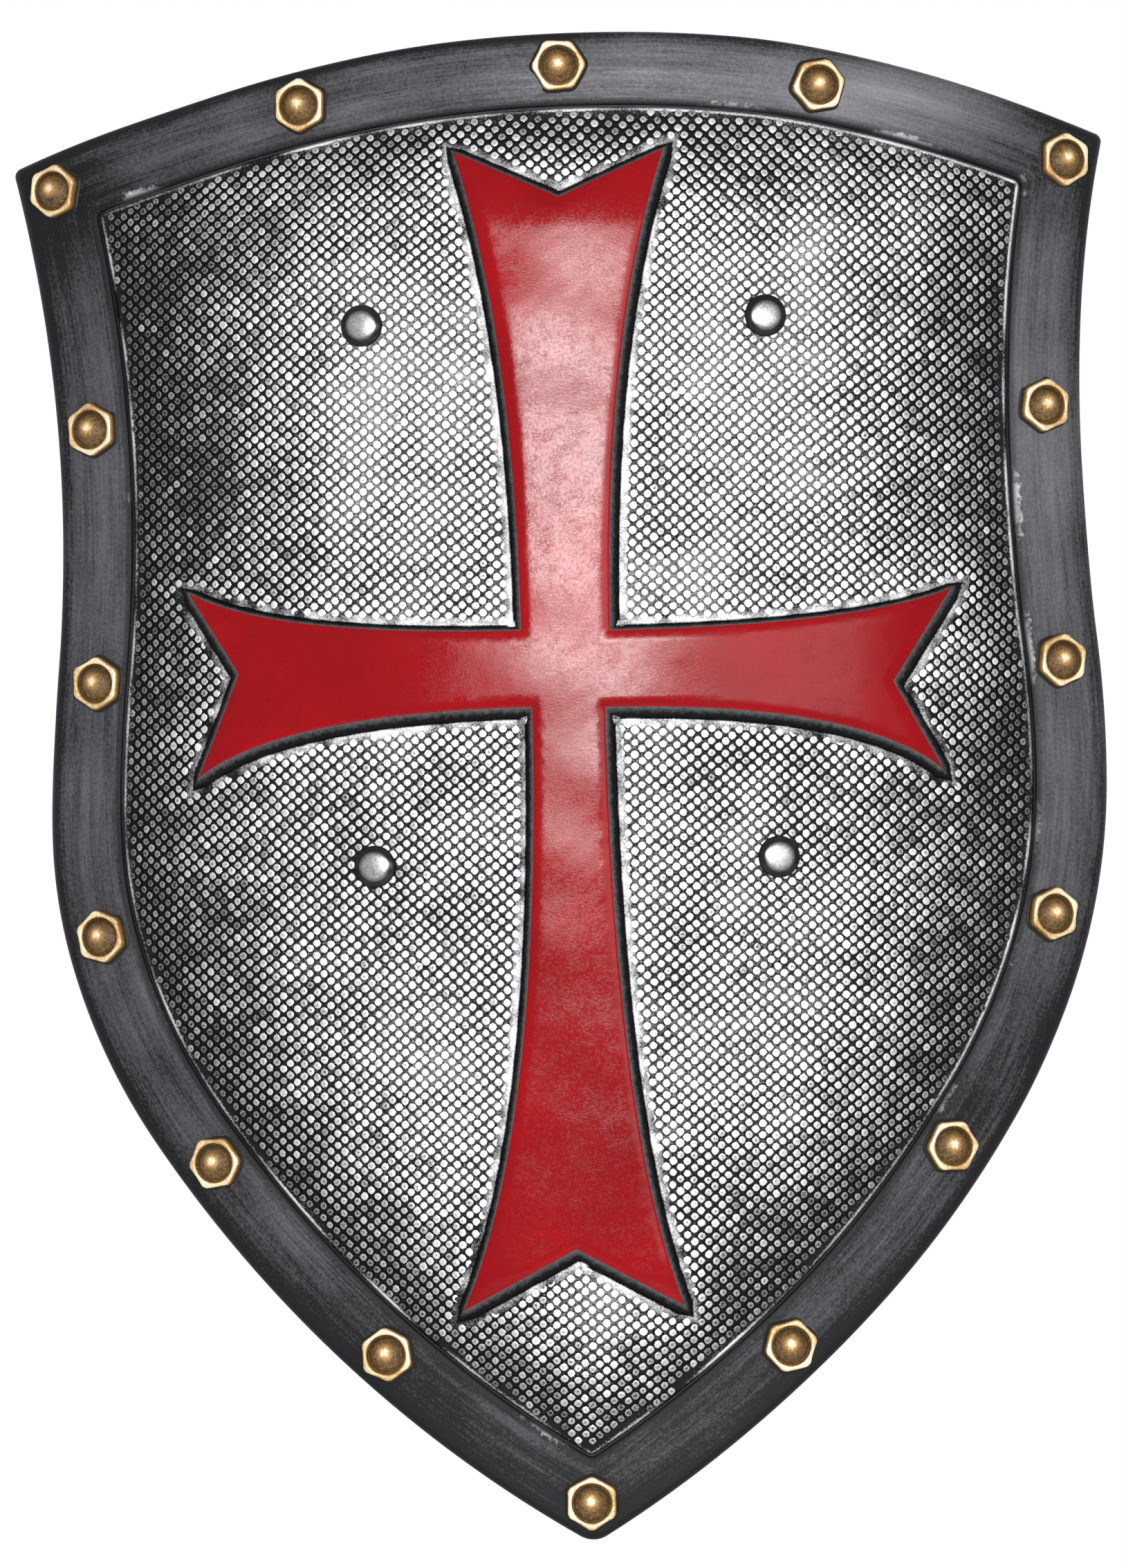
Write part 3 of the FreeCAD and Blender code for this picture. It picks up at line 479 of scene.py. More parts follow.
def beadPaint():
    # silver drybrushed over black: the crown of each bead catches it, more where tone is high; tone also
    # carries painted light and shade, and the fine specks are partly painted glints
    finish = Finish("drybrushedBeads", Specular_IOR_Level=0.1)
    speck = finish.grain(1500.0, 3.0, 0.7)
    tone = finish.carried("tone")
    cover = (finish.carried("crown") * 2.0 + tone * 1.5 + speck * 2.7).level(3.4, 3.95)
    silver = finish.mix(tone.level(0.3, 0.75), (0.20, 0.195, 0.205), (0.90, 0.885, 0.905))
    return finish.done(finish.mix(cover, blackPaint, silver), cover.level(0, 1, 0.6, 0.34),
                       cover.level(0, 1, 0.0, 0.3), speck.relief(0.4, 0.0004))


def skinPaint():
    # black latex between the beads, with silver rubbed on the lip and beside the cross, lighter where the
    # field has painted light; the lip line is also a painted highlight
    finish = Finish("blackSkin", Specular_IOR_Level=0.1)
    speck = finish.grain(1000.0, 5.0, 0.75)
    cover = (finish.carried("scuffAndPaintedLight") + speck * 1.2).level(0.78, 1.25)
    colour = finish.mix(cover ** 1.3, blackPaint, (0.80, 0.79, 0.81))
    return finish.done(colour, cover.level(0, 1, 0.5, 0.38), cover.level(0, 1, 0.0, 0.3),
                       speck.relief(0.5, 0.0006))


def bandPaint():
    # gunmetal brushed along the band: long streaks, soft clouds, rubbed spots near the inner edge, with
    # painted light in its lighter clouds and painted shade at both edges
    finish = Finish("brushedGunmetal", Specular_IOR_Level=0.15)
    streak = finish.grain(1.0, 6.0, 0.65, stretch=(26, 900, 1), source="UV")
    broad = finish.grain(1.0, 4.0, 0.6, stretch=(9, 140, 1), source="UV")
    cloud = finish.grain(11.0)
    dust = finish.grain(700.0, 4.0, 0.7)
    load = streak * 0.6 + broad * 0.55 + cloud * 0.6 + dust * 0.65 + finish.carried("paintedLightAndBrush") * 0.55
    cover = load.level(1.0, 2.0)
    colour = finish.mix(cover, (0.008, 0.008, 0.010), (0.29, 0.288, 0.312))
    rubbed = finish.carried("rub") + finish.grain(240.0, 6.0, 0.75)
    colour = finish.mix(rubbed.level(1.12, 1.3), colour, (0.72, 0.71, 0.73))
    colour = finish.mix(finish.carried("shade").level(0, 1), colour, (0.008, 0.008, 0.009))
    return finish.done(colour, cover.level(0, 1, 0.5, 0.36), cover.level(0, 1, 0.0, 0.3),
                       streak.relief(0.25, 0.0004, dust.relief(0.3, 0.0003)))


def crossPaint():
    # satin red with a leathery grain, a little deeper in patches; its creases follow bent cells and are
    # painted darker red as painted shade
    finish = Finish("satinRed", Specular_IOR_Level=0.145)
    spot = finish.spot()
    bent = added(finish.tree, "ShaderNodeTexNoise", {"Vector": spot, "Scale": 300.0}, "Color")
    bent = bent.vector("MULTIPLY", (0.0016, 0.0016, 0.0016)).vector("ADD", spot)
    fine, broad = finish.grain(900.0, 5.0, 0.65), finish.grain(14.0, 3.0, 0.5)
    crease = finish.cells(bent, 760.0, "DISTANCE_TO_EDGE").level(0.02, 0.12, 1.0, 0.0)
    crease = crease * finish.grain(130.0, 3.0, 0.6).level(0.42, 0.62)
    colour = finish.mix(broad.level(0.3, 0.7), (0.27, 0.0004, 0.003), (0.385, 0.0008, 0.005))
    colour = finish.mix(fine.level(0.62, 0.75, 0.0, 0.35), colour, (0.30, 0.001, 0.006))
    # painted shade: darker red along the creases
    colour = finish.mix(crease * 0.4, colour, (0.16, 0.0003, 0.002))
    dull = (fine + finish.grain(1700.0, 3.0, 0.7) + broad * 0.3).level(0.95, 1.4, 0.085, 0.155)
    dull = dull + finish.grain(640.0, 2.0, 0.6).level(0.5, 0.58, 0.0, 0.075) + crease * 0.1
    return finish.done(colour, dull, None, (fine + crease * -0.3).relief(0.08, 0.0004))


def wallPaint():
    # the cross's sides: black, greyed where the brush dragged over them higher up; the black foot is also
    # painted shadow
    finish = Finish("blackSides", Specular_IOR_Level=0.1, Roughness=0.55)
    speck = finish.grain(420.0, 6.0, 0.7)
    cover = (finish.carried("rise") + speck * 1.2).level(1.05, 1.65)
    colour = finish.mix(cover, (0.005, 0.005, 0.006), (0.115, 0.115, 0.12))
    return finish.done(colour, normal=speck.relief(0.6, 0.0008))


def studPaint():
    # old gold: bright rim, a painted highlight on the crown, brown wash in the dish, black wash and painted
    # shadow round the foot
    finish = Finish("oldGold", Specular_IOR_Level=0.3)
    speck = finish.grain(760.0, 5.0, 0.7)
    # gild carries the gilding of rim and dish, and on the dome a painted highlight
    load = finish.carried("gildAndHighlight") + (speck - 0.5)
    colour = finish.mix(load.level(0.05, 0.7), (0.065, 0.035, 0.011), (0.55, 0.31, 0.105))
    colour = finish.mix(load.level(0.72, 1.12), colour, (1.0, 0.82, 0.54))
    # black wash and painted shadow round the foot and up the stud's side, with a stain on one stud
    colour = finish.mix(finish.carried("washAndShadow"), colour, (0.007, 0.006, 0.006))
    return finish.done(colour, load.level(0, 1, 0.45, 0.32), load.level(0.4, 1, 0.0, 0.4),
                       speck.relief(0.45, 0.0005))


def foamPaint():
    # brushed-on black latex: soft brush marks, dust in the low spots, a dull sheen
    finish = Finish("blackLatex", Specular_IOR_Level=0.2)
    marks = finish.grain(160.0, 5.0, 0.6, 0.6, stretch=(1, 1, 0.18))
    speck = finish.grain(800.0, 4.0, 0.7)
    load = finish.grain(9.0) * 0.7 + marks * 0.6
    colour = finish.mix(load.level(0.45, 0.95), (0.014, 0.014, 0.015), (0.045, 0.045, 0.048))
    colour = finish.mix(speck.level(0.66, 0.78, 0.0, 0.5), colour, (0.16, 0.155, 0.15))
    return finish.done(colour, marks.level(0.3, 0.7, 0.42, 0.6), None,
                       marks.relief(0.35, 0.0009, speck.relief(0.2, 0.0003)))


def plainPaint(name, dark, light, scale, roughness, metallic=0.0, brushed=(1, 1, 1), depth=0.0003):
    # two tones by a stretched noise, with a finer one for the surface
    finish = Finish(name, Metallic=metallic)
    tone = finish.grain(scale, 5.0, 0.6, stretch=brushed)
    fine = finish.grain(scale * 5, 4.0, 0.6, stretch=brushed)
    dull = fine.level(0.3, 0.7, roughness * 0.8, roughness * 1.25)
    return finish.done(finish.mix(tone.level(0.3, 0.7), dark, light), dull, None, fine.relief(0.3, depth))


def steelPaint():
    # polished steel: fine scratches both ways, clouded handling marks and painted shade where it turns away
    # from the front and back
    finish = Finish("wornSteel", Metallic=1.0)
    upward, sideways = (finish.grain(2400.0, 3.0, stretch=way) for way in ((1, 1, 0.05), (0.05, 1, 1)))
    cloud = finish.grain(260.0, 5.0, 0.65)
    outwardness = added(finish.tree, "ShaderNodeSeparateXYZ", {0: finish.facing()}, "Y")
    paintedTurnShade = (outwardness ** 2.0).level(0.66, 0.86, 0.3, 0.0)
    colour = finish.mix(cloud.level(0.35, 0.65), (0.36, 0.35, 0.34), (0.6, 0.6, 0.6))
    colour = finish.mix(paintedTurnShade, colour, (0.03, 0.028, 0.026))
    return finish.done(colour, cloud.level(0.3, 0.7, 0.225, 0.45), None,
                       (upward + sideways).relief(0.08, 0.0002))


def capPaint():
    # black chrome: the flat top is hazed by fine scratches, the rolled edge stays a mirror and is painted
    # near black where it turns away, a painted shade outline
    finish = Finish("blackChrome", Metallic=1.0)
    scratch = finish.grain(2600.0, 3.0, stretch=(1, 1, 0.08))
    haze = finish.grain(900.0, 4.0, 0.65)
    cloud = finish.grain(150.0, 3.0, 0.5)
    axis = (0, millimetre * shield["backRadius"], 0)
    outward = finish.spot().vector("SUBTRACT", axis).vector("MULTIPLY", (1, 1, 0)).vector("NORMALIZE")
    normal = finish.facing()
    upright = outward.vector("DOT_PRODUCT", normal, "Value")
    flat, kept = upright.level(0.89, 0.95), upright.level(0.80, 0.995, 1.0, 0.3)
    drawn = added(finish.tree, "ShaderNodeMix", {0: kept, 4: outward, 5: normal}, 1, data_type="VECTOR")
    colour = finish.mix(cloud.level(0.35, 0.65), (0.02, 0.02, 0.022), (0.032, 0.032, 0.035))
    colour = finish.mix(flat * haze.level(0.3, 0.7, 0.4, 0.85), colour, (0.42, 0.42, 0.43))
    # painted shade: near black where the surface turns away from the shield's outward direction
    colour = finish.mix(upright.level(0.5, 0.82, 1.0, 0.0), colour, (0.006, 0.006, 0.006))
    return finish.done(colour, flat * haze.level(0.3, 0.7, 0.06, 0.16) + 0.2, None,
                       scratch.relief(0.05, 0.0002, drawn.vector("NORMALIZE")))


def leatherPaint(name, dark, light, edgeTone):
    # pebbled grain from cells, waxy patches, a pressed line by each side, darker edges where edge is 1
    finish = Finish(name, Specular_IOR_Level=0.45)
    dark, lineAt = np.array(dark), 16.6
    pebble = finish.cells(finish.spot(), 900.0, "SMOOTH_F1")
    pores = finish.grain(1500.0, 4.0, 0.7)
    cloud = finish.grain(38.0, 5.0, 0.6)
    crease = finish.grain(210.0, 4.0, 0.6, 0.8, stretch=(1, 1, 0.25))
    line = abs(abs(finish.carried("across")) - lineAt).level(0.2, 0.75, 1.0, 0.0)
    colour = finish.mix(cloud.level(0.3, 0.7), dark, light)
    colour = finish.mix(crease.level(0.58, 0.72, 0.0, 0.55), colour, 0.45 * dark)
    colour = finish.mix(pebble.level(0.25, 0.6, 0.0, 0.4), colour, 0.6 * dark)
    colour = finish.mix(finish.carried("edge") * (pores * 1.3), colour, edgeTone)
    colour = finish.mix(line * 0.65, colour, 0.3 * dark)
    surface = pebble * -0.5 + crease * 0.8 + line * -1.2
    return finish.done(colour, cloud.level(0.3, 0.7, 0.42, 0.62), None,
                       surface.relief(0.4, 0.0006, pores.relief(0.2, 0.0002)))


finishes = {
    "beads": beadPaint(), "skin": skinPaint(), "band": bandPaint(), "cross": crossPaint(),
    "sides": wallPaint(), "stud": studPaint(), "foam": foamPaint(), "cap": capPaint(), "steel": steelPaint(),
    "core": plainPaint("coreSheet", (0.45, 0.43, 0.36), (0.58, 0.56, 0.48), 30.0, 0.6),
    "pad": plainPaint("padFoam", (0.03, 0.03, 0.033), (0.06, 0.06, 0.065), 500.0, 0.9, depth=0.0008),
    "brass": plainPaint("agedBrass", (0.36, 0.23, 0.08), (0.68, 0.5, 0.22), 420.0, 0.3, 1.0),
    "nickel": plainPaint("wornNickel", (0.4, 0.39, 0.37), (0.66, 0.65, 0.63), 300.0, 0.26, 1.0, (0.2, 1, 1)),
    "leather": leatherPaint("strapLeather", (0.085, 0.038, 0.018), (0.19, 0.095, 0.045),
                            (0.022, 0.011, 0.006)),
    "sleeve": leatherPaint("sleeveLeather", (0.04, 0.022, 0.014), (0.085, 0.048, 0.03),
                           (0.012, 0.008, 0.006)),
    "thread": plainPaint("waxedThread", (0.34, 0.27, 0.17), (0.55, 0.46, 0.32), 900.0, 0.6,
                         brushed=(1, 1, 6)),
}
print("materials ready", len(finishes))

keptNodes = (("post_cap", "cap"), ("post_", "steel"), ("buckle_", "nickel"), ("fold_rivets", "brass"),
             ("core_sheet", "core"), ("", "pad"))
for node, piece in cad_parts.items():
    kind = next(finish for start, finish in keptNodes if node.startswith(start))
    piece.data.materials.clear()
    piece.data.materials.append(finishes[kind])


# Foam body

def circleLoop(centre, radius, count=20):
    # clockwise, so that it bounds a hole
    angle = -fullTurn * np.arange(count) / count
    return np.column_stack([centre[0] + radius * np.cos(angle), centre[1] + radius * np.sin(angle)])


def postCentres(radius):
    # a post stands square on the curve, so its place moves out as (R + h) sin(angle)
    return [np.array([radius * math.sin(side * postAngle), rise * posts["up"] / 2])
            for side in (-1, 1) for rise in (-1, 1)]


def postHoles(heights):
    # one hole for each post, as a circle at each height
    centres = [postCentres(shield["backRadius"] + h) for h in heights]
    return [[(circleLoop(centre, posts["hole"]), h) for centre, h in zip(post, heights)]
            for post in zip(*centres)]


def wholeLoop(inset):
    # the outline with its own rounds, moved in
    return outlineLoop(inset, shield["cornerRound"], shield["tipRound"])


def roundedIn(radius, base, count, way):
    # a quarter round as (inset, height): way 1 ends it upwards, -1 starts it from the face below
    angle = np.linspace(0, math.pi / 2, count)
    if way > 0:
        return [(radius * (1 - math.cos(a)), base + radius * math.sin(a)) for a in angle]
    return [(radius * (1 - math.sin(a)), base + radius * (1 - math.cos(a))) for a in angle]


foam = {"round": 2.5, "roundSteps": 6, "seam": 0.35, "unevenness": 0.22, "rimWidth": 15.7, "backGrid": 6.0,
        "frontGrid": 9.0, "sharp": 50}
seam, coreHeight, frontHeight = foam["seam"], shield["core"], shield["front"]


def backSurface(x, z):
    # slow waves and half as much of quicker ones, dying out towards the edge
    waves = ripple(x, z, 55, 3) + 0.5 * ripple(x, z, 21, 4)
    return foam["unevenness"] * waves * ramp(borderDistance(x, z), 6, 26)


def foamPiece(name, node, points, faces):
    # a soft piece in black latex, solid foam all through
    piece = makePiece(name, curved(*points.T), faces, [finishes["foam"]], replaced=[node],
                      sharp=foam["sharp"])


def foamSheet(name, node, rings, heights, top, bottom, spacing):
    # a plate with its edge through rings of (inset, height), holed at the posts
    contour = [(wholeLoop(inset), h) for inset, h in rings]
    foamPiece(name, node, *plate([contour] + postHoles(heights), top, bottom, spacing))


def sweptRing(section, loopOf):
    # a closed section of (inset, height) carried round the outline
    loops = [np.column_stack([loopOf(inset), np.full(len(loopOf(0)), h)]) for inset, h in section]
    return np.stack(loops, 1).reshape(-1, 3), *wrapGrid(len(loops[0]), len(section))


edge = roundedIn(foam["round"], 0, foam["roundSteps"], -1) + [(0, coreHeight - seam), (seam, coreHeight)]
foamSheet("backFoam", "back_foam", edge, (0, coreHeight), coreHeight, backSurface, foam["backGrid"])
section = [(seam, coreHeight), (0, coreHeight + seam), (0, frontHeight - seam), (seam, frontHeight),
           (foam["rimWidth"], frontHeight), (foam["rimWidth"], coreHeight)]
shape, faces, row, column = sweptRing(section, wholeLoop)
foamPiece("rimFoam", "rim_foam", shape, [faces])
edge = [(seam, frontHeight), (0, frontHeight + seam), (0, shield["band"] - seam), (seam, shield["band"])]
foamSheet("frontFoam", "front_foam", edge, (frontHeight, shield["band"]), shield["band"], frontHeight,
          foam["frontGrid"])
print("foam body ready")

# Border band

band = {"width": 34.0, "edgeRound": 3.5, "roundSteps": 7, "bevel": 0.8, "crown": 0.25, "crownSteps": 12,
        "wave": 0.16, "waveFrom": (23.5, 24.8), "sharp": 60,
        "clouds": ((235, 60, 40, 140, 0.38), (152, 228, 42, 16, 0.7), (60, 240, 120, 22, 0.16),
                   (0, -425, 80, 50, -0.3), (-240, 196, 26, 26, -0.28), (232, 200, 30, 25, -0.3),
                   (-120, -330, 60, 60, -0.26), (-206, -205, 30, 60, 0.06), (-230, 30, 30, 90, 0.04),
                   (120, -300, 60, 60, -0.14))}


def bandProfile():
    # (inset, height) round the band's section: outer wall, round, crowned top, bevel, inner wall
    top, bottom, width = shield["studs"], shield["band"], band["width"]
    rounded = roundedIn(band["edgeRound"], top - band["edgeRound"], band["roundSteps"], 1)
    across = np.linspace(band["edgeRound"], width - band["bevel"], band["crownSteps"])[1:]
    share = (across - band["edgeRound"]) / (width - band["bevel"] - band["edgeRound"])
    crowned = list(zip(across, top + band["crown"] * np.sin(math.pi * share)))
    inner = [(width - 0.25, top - 0.4), (width, top - band["bevel"] - 0.2), (width, bottom + 0.4),
             (width - 0.3, bottom)]
    return [(seam, bottom), (0, bottom + seam)] + rounded + crowned + inner


def bandLoop(inset):
    # the outer rounds give way to small ones along the inner edge
    small = min(1, inset / band["width"])
    tip = shield["tipRound"] + (shield["cornerRound"] - shield["tipRound"]) * small
    return outlineLoop(inset, shield["cornerRound"], tip)


profile = bandProfile()
shape, faces, row, column = sweptRing(profile, bandLoop)
x, z = shape[:, 0], shape[:, 1]
insets = np.tile([inset for inset, h in profile], len(bandLoop(0)))
waves = ripple(x, z, 48, 11) + 0.4 * ripple(x, z, 17, 12)
shape[:, 2] += ramp(shape[:, 2], *band["waveFrom"]) * band["wave"] * waves
middle = bandLoop(band["width"] / 2)
stride = np.linalg.norm(np.diff(np.concatenate([middle, middle[:1]]), axis=0), axis=1)
along = np.concatenate([[0], np.cumsum(stride)])
sides = [math.dist(a, b) for a, b in zip(profile, profile[1:] + profile[:1])]
across = np.concatenate([[0], np.cumsum(sides)])
uv = np.stack([along[row], across[column]], -1) * millimetre
# painted light and shade: clouds lighter to the right and upper right, mixed with brush clouds, and darker
# towards both edges and over the outer half as painted shade
paintedLightAndBrush = 0.02 + clouded(x, z, band["clouds"]) - 0.35 * ramp(insets, 30, 34) - 0.4 * ramp(insets, 7, 2)
paintedLightAndBrush -= 0.16 * ramp(insets, 16, 8)
rub = ramp(insets, 24, 33) * (0.35 + 0.35 * ripple(x, z, 70, 15))
rub += 0.55 * np.exp(-((x - 210) / 20) ** 2 - ((z - 25) / 45) ** 2) * ramp(insets, 22, 30)
borderBand = makePiece("borderBand", curved(*shape.T), [faces], [finishes["band"]],
                       replaced=["border_band"], sharp=band["sharp"], uv=uv.reshape(-1, 2),
                       values={"paintedLightAndBrush": paintedLightAndBrush, "rub": rub, "shade": ramp(insets, 30.4, 32.8) * 0.95})
print("border band ready", len(shape))

# Cross outline, as the red edge stands in the picture

cross = {
    "corners": ((18.0, -19.0), (-23.1, -18.0), (-18.8, -53.5), (14.9, -54.3)),
    "tips": (((175.9, -2.1), (148.3, -45.3), (170.9, -86.6), 0.75),
             ((-48.9, 204.7), (-0.9, 182.2), (48.2, 204.0), 0.61),
             ((-176.2, -82.0), (-156.2, -34.3), (-179.1, 4.2), 0.75),
             ((44.5, -331.7), (-4.5, -304.5), (-57.4, -332.2), 0.70)),
    "height": 4.0, "wall": 3.9, "lean": (0.5, -1.5), "step": 2.2, "grid": 2.6, "sunk": 0.3, "tipFade": 9.0,
    "soft": 0.4, "softReach": (3.2, 3.8, 1.5), "sharp": 40,
    "dents": ((-57, 121, 6, 9, -0.5), (-54, 88, 4, 7, -0.4), (-40, 60, 6, 10, -0.25),
              (30, 150, 8, 12, -0.2), (-110, -60, 10, 6, -0.25), (20, -210, 9, 14, -0.3),
              (-25, -260, 8, 12, -0.25)),
}
mitreLimit = 1.5


def flared(start, tip, share, along, count):
    # quadratic curve that leaves the crossing straight along the arm and flares to the tip
    start, tip = np.array(start), np.array(tip)
    control = start + along * ((tip - start) @ along) * share
    t = (np.arange(count) / count)[:, None]
    return (1 - t) ** 2 * start + 2 * t * (1 - t) * control + t ** 2 * tip


def straight(start, end, count):
    # start + t (end - start), t from 0 to just before 1
    t = (np.arange(count) / count)[:, None]
    return np.array(start) + t * (np.array(end) - np.array(start))


def crossLoop():
    # anticlockwise from the lower right corner: right arm, top arm, left arm, bottom arm
    upperRight, upperLeft, lowerLeft, lowerRight = cross["corners"]
    pairs = ((lowerRight, upperRight, (1, 0)), (upperRight, upperLeft, (0, 1)),
             (upperLeft, lowerLeft, (-1, 0)), (lowerLeft, lowerRight, (0, -1)))
    parts, points = [], []
    for (first, last, way), (tipB, notch, tipA, share) in zip(pairs, cross["tips"]):
        way = np.array(way, float)
        run = int(abs((np.array(tipA) - np.array(first)) @ way) / cross["step"])
        ends = int(math.dist(tipA, notch) / cross["step"])
        back = flared(last, tipB, share, way, run)
        parts += [flared(first, tipA, share, way, run), straight(tipA, notch, ends),
                  straight(notch, tipB, ends), np.concatenate([[np.array(tipB)], back[:0:-1]])]
        points += [tipA, tipB]
    return np.concatenate(parts), np.array(points)


def offsetLoop(loop, amount):
    # each point moved out along the mean normal of its two edges, by amount / cos of half their turn
    edge = unit(np.roll(loop, -1, 0) - loop)
    normal = np.column_stack([edge[:, 1], -edge[:, 0]])
    both = unit(normal + np.roll(normal, 1, 0))
    stretch = np.minimum(1 / np.clip((both * normal).sum(1), 0.05, 1), mitreLimit)
    return loop + both * (stretch * amount)[:, None]


redLoop, crossTips = crossLoop()
footLoop = offsetLoop(redLoop, cross["wall"]) + np.array(cross["lean"])
tipShare = np.clip(toNearest(redLoop, crossTips) / cross["tipFade"], 0.1, 1)


def crossTop(x, z):
    # field + height + waves + dents - soft * (1 - d / reach)^2 at d from the edge; up the top arm the
    # reach grows on the left and shrinks on the right
    d = toNearest(np.column_stack([x, z]), redLoop)
    least, more, fewer = cross["softReach"]
    reach = least + ramp(z, 20, 70) * (more * ramp(x, 12, -8) - fewer * ramp(x, 0, 20))
    edge = cross["soft"] * ramp(d, reach, 0) ** 2 * reach / least
    waves = 0.15 * ripple(x, z, 46, 21) + 0.01 * ripple(x, z, 12, 22)
    return fieldHeight(x, z) + cross["height"] + waves + clouded(x, z, cross["dents"]) - edge


def crossFoot(x, z):
    # a little under the field's surface
    return fieldHeight(x, z) - cross["sunk"]


# rings of loop, height and how far up the side, 0 to 1; the first blocks of faces are the sides
footHeight, redHeight, redTop = fieldHeight(*footLoop.T), fieldHeight(*redLoop.T), crossTop(*redLoop.T)
sideBlocks = 4
rings = [(footLoop, crossFoot(*footLoop.T), 0.0),
         (footLoop * 0.94 + redLoop * 0.06, footHeight + 0.2, 0.05),
         (footLoop * 0.5 + redLoop * 0.5, redHeight + 1.9, 0.5),
         (offsetLoop(redLoop, 0.25), redHeight + 3.2, 1.0),
         (redLoop, redTop - 0.34, 1.0),
         (offsetLoop(redLoop, -0.35 * tipShare), redTop - 0.12, 1.0),
         (offsetLoop(redLoop, -1.1 * tipShare), redTop, 1.0)]
shape, faces = plate([[(loop, h) for loop, h, share in rings]], crossTop, crossFoot, cross["grid"])
rise = np.ones(len(shape))
rise[:len(rings) * len(redLoop)] = np.repeat([share for loop, h, share in rings], len(redLoop))
isSide = [number < sideBlocks or number == len(faces) - 1 for number in range(len(faces))]
paintOf = np.concatenate([np.full(len(block), int(side)) for block, side in zip(faces, isSide)])
crossPiece = makePiece("crossRaised", curved(*shape.T), faces, [finishes["cross"], finishes["sides"]],
                       replaced=["cross"], faceMaterial=paintOf, values={"rise": rise},
                       sharp=cross["sharp"])
print("cross ready", len(shape))

# Beaded field

# brushed: where the field is lighter or darker, partly from the brush and partly painted light and shade, as
# x, z, half widths and how much
beads = {"acrossStep": (3.3, 2.55), "upStep": (-3.1, 3.1), "origin": (0.0, -60.0), "radius": 2.04,
         "corner": 1.1, "height": 1.05, "sunk": 0.3, "borderMargin": 37.7, "crossMargin": 2.2,
         "postMargin": 8.6, "curve": 550.0, "sides": 8, "middle": (-3.0, -36.0), "reach": 110,
         "box": (250, -420, 240), "bend": 0.9, "bendSize": 150, "jitter": 0.09, "sizeSpread": 0.035,
         "sideSpread": 0.05, "tallSpread": 0.07, "turn": -0.05, "turnSpread": 0.1, "leastTone": 0.33,
         "toneSpread": 0.055, "byCross": 0.2, "byCrossReach": 7.0, "lowBy": (1.0, 3.0, 0.35),
         "brushed": ((-80, 98, 30, 40, 0.14), (106, 102, 40, 45, 0.10), (43, -5, 25, 20, 0.08),
                     (60, -190, 35, 60, -0.02), (-205, -40, 18, 80, 0.02), (-150, 60, 26, 40, -0.10),
                     (0, 214, 110, 13, -0.18), (-125, 175, 50, 26, -0.12), (-195, 120, 25, 60, -0.05),
                     (76, 190, 28, 14, -0.12), (180, 172, 30, 30, 0.12), (170, 20, 26, 40, 0.06),
                     (180, -28, 20, 24, 0.12), (-100, -130, 45, 45, -0.08), (-130, -205, 30, 40, 0.06),
                     (-85, -262, 25, 40, 0.10), (108, -225, 32, 34, 0.12), (130, -85, 40, 22, -0.10),
                     (15, -337, 24, 20, 0.24), (0, -380, 40, 30, 0.06))}
edging = {"steps": ((-0.4, -0.6, 0.0), (-0.1, 0.4, 0.25), (0.5, 0.8, 0.85), (1.3, 0.75, 0.85),
                    (2.2, 0.6, 0.78), (3.2, 0.4, 0.7), (4.4, -0.15, 0.5)), "roughness": 0.18,
          "from": 0.45, "least": 0.3, "gain": 1.3, "patches": 0.12, "patchSize": 13}
# rubbed: the skin's silver; from, most and gain make it follow the field's painted light, and the lip line is
# also a painted highlight
rubbed = {"from": 0.46, "most": 0.5, "gain": 1.05, "lip": 0.5, "lipWidth": 1.4, "lipAt": 36.0}


def silverAndPaintedLight(x, z):
    # how much silver the brush left together with painted light and shade: less near the sides, which is
    # painted shade, most beside the cross, in soft clouds that are partly painted light
    top, left, right = edgeDistances(x, z)
    sides = np.minimum(right, left) - field["inset"]
    away = np.minimum(top, np.minimum(left, right)) - field["inset"]
    tone = 0.33 + 0.36 * ramp(sides, 0, 95) ** 0.8 + clouded(x, z, beads["brushed"])
    return tone + 0.04 * ripple(x, z, 55, 41) * np.clip(away / 30, 0.4, 1) + 0.03 * ripple(x, z, 19, 42)


def surfaceFrame(x, z, height):
    # the spot and its unit tangents by small steps across and up
    small = 0.5
    spot = curved(x, z, height(x, z))
    across = curved(x + small, z, height(x + small, z)) - spot
    up = curved(x, z + small, height(x, z + small)) - spot
    across, out = unit(across), unit(np.cross(across, up))
    return spot, across, np.cross(out, across), out


def makeEdging(parent):
    # a rough strip cast along the foot of the cross: rows at (outward, height above the field, silver)
    count, steps = len(footLoop), edging["steps"]
    wander = edging["roughness"] * np.random.default_rng(81).normal(0, 1, count)
    rows = [(offsetLoop(footLoop, out), lift) for out, lift, silver in steps]
    shape = np.stack([np.column_stack([row, fieldHeight(*row.T) + lift + wander * (lift > 0)])
                      for row, lift in rows], 1).reshape(-1, 3)
    faces = wrapGrid(count, len(steps), False)[0][:, [0, 3, 2, 1]]
    silver = np.tile([silver for out, lift, silver in steps], count)
    x, z = shape[:, 0], shape[:, 1]
    # painted light: the strip's silver grows where the field is painted lighter
    bright = edging["least"] + edging["gain"] * np.clip(silverAndPaintedLight(x, z) - edging["from"], 0, rubbed["most"])
    patches = edging["patches"] * ripple(x, z, edging["patchSize"], 82)
    strip = makePiece("crossEdging", curved(*shape.T), [faces], [finishes["skin"]],
                      values={"scuffAndPaintedLight": silver * bright + patches})
    strip.parent = parent


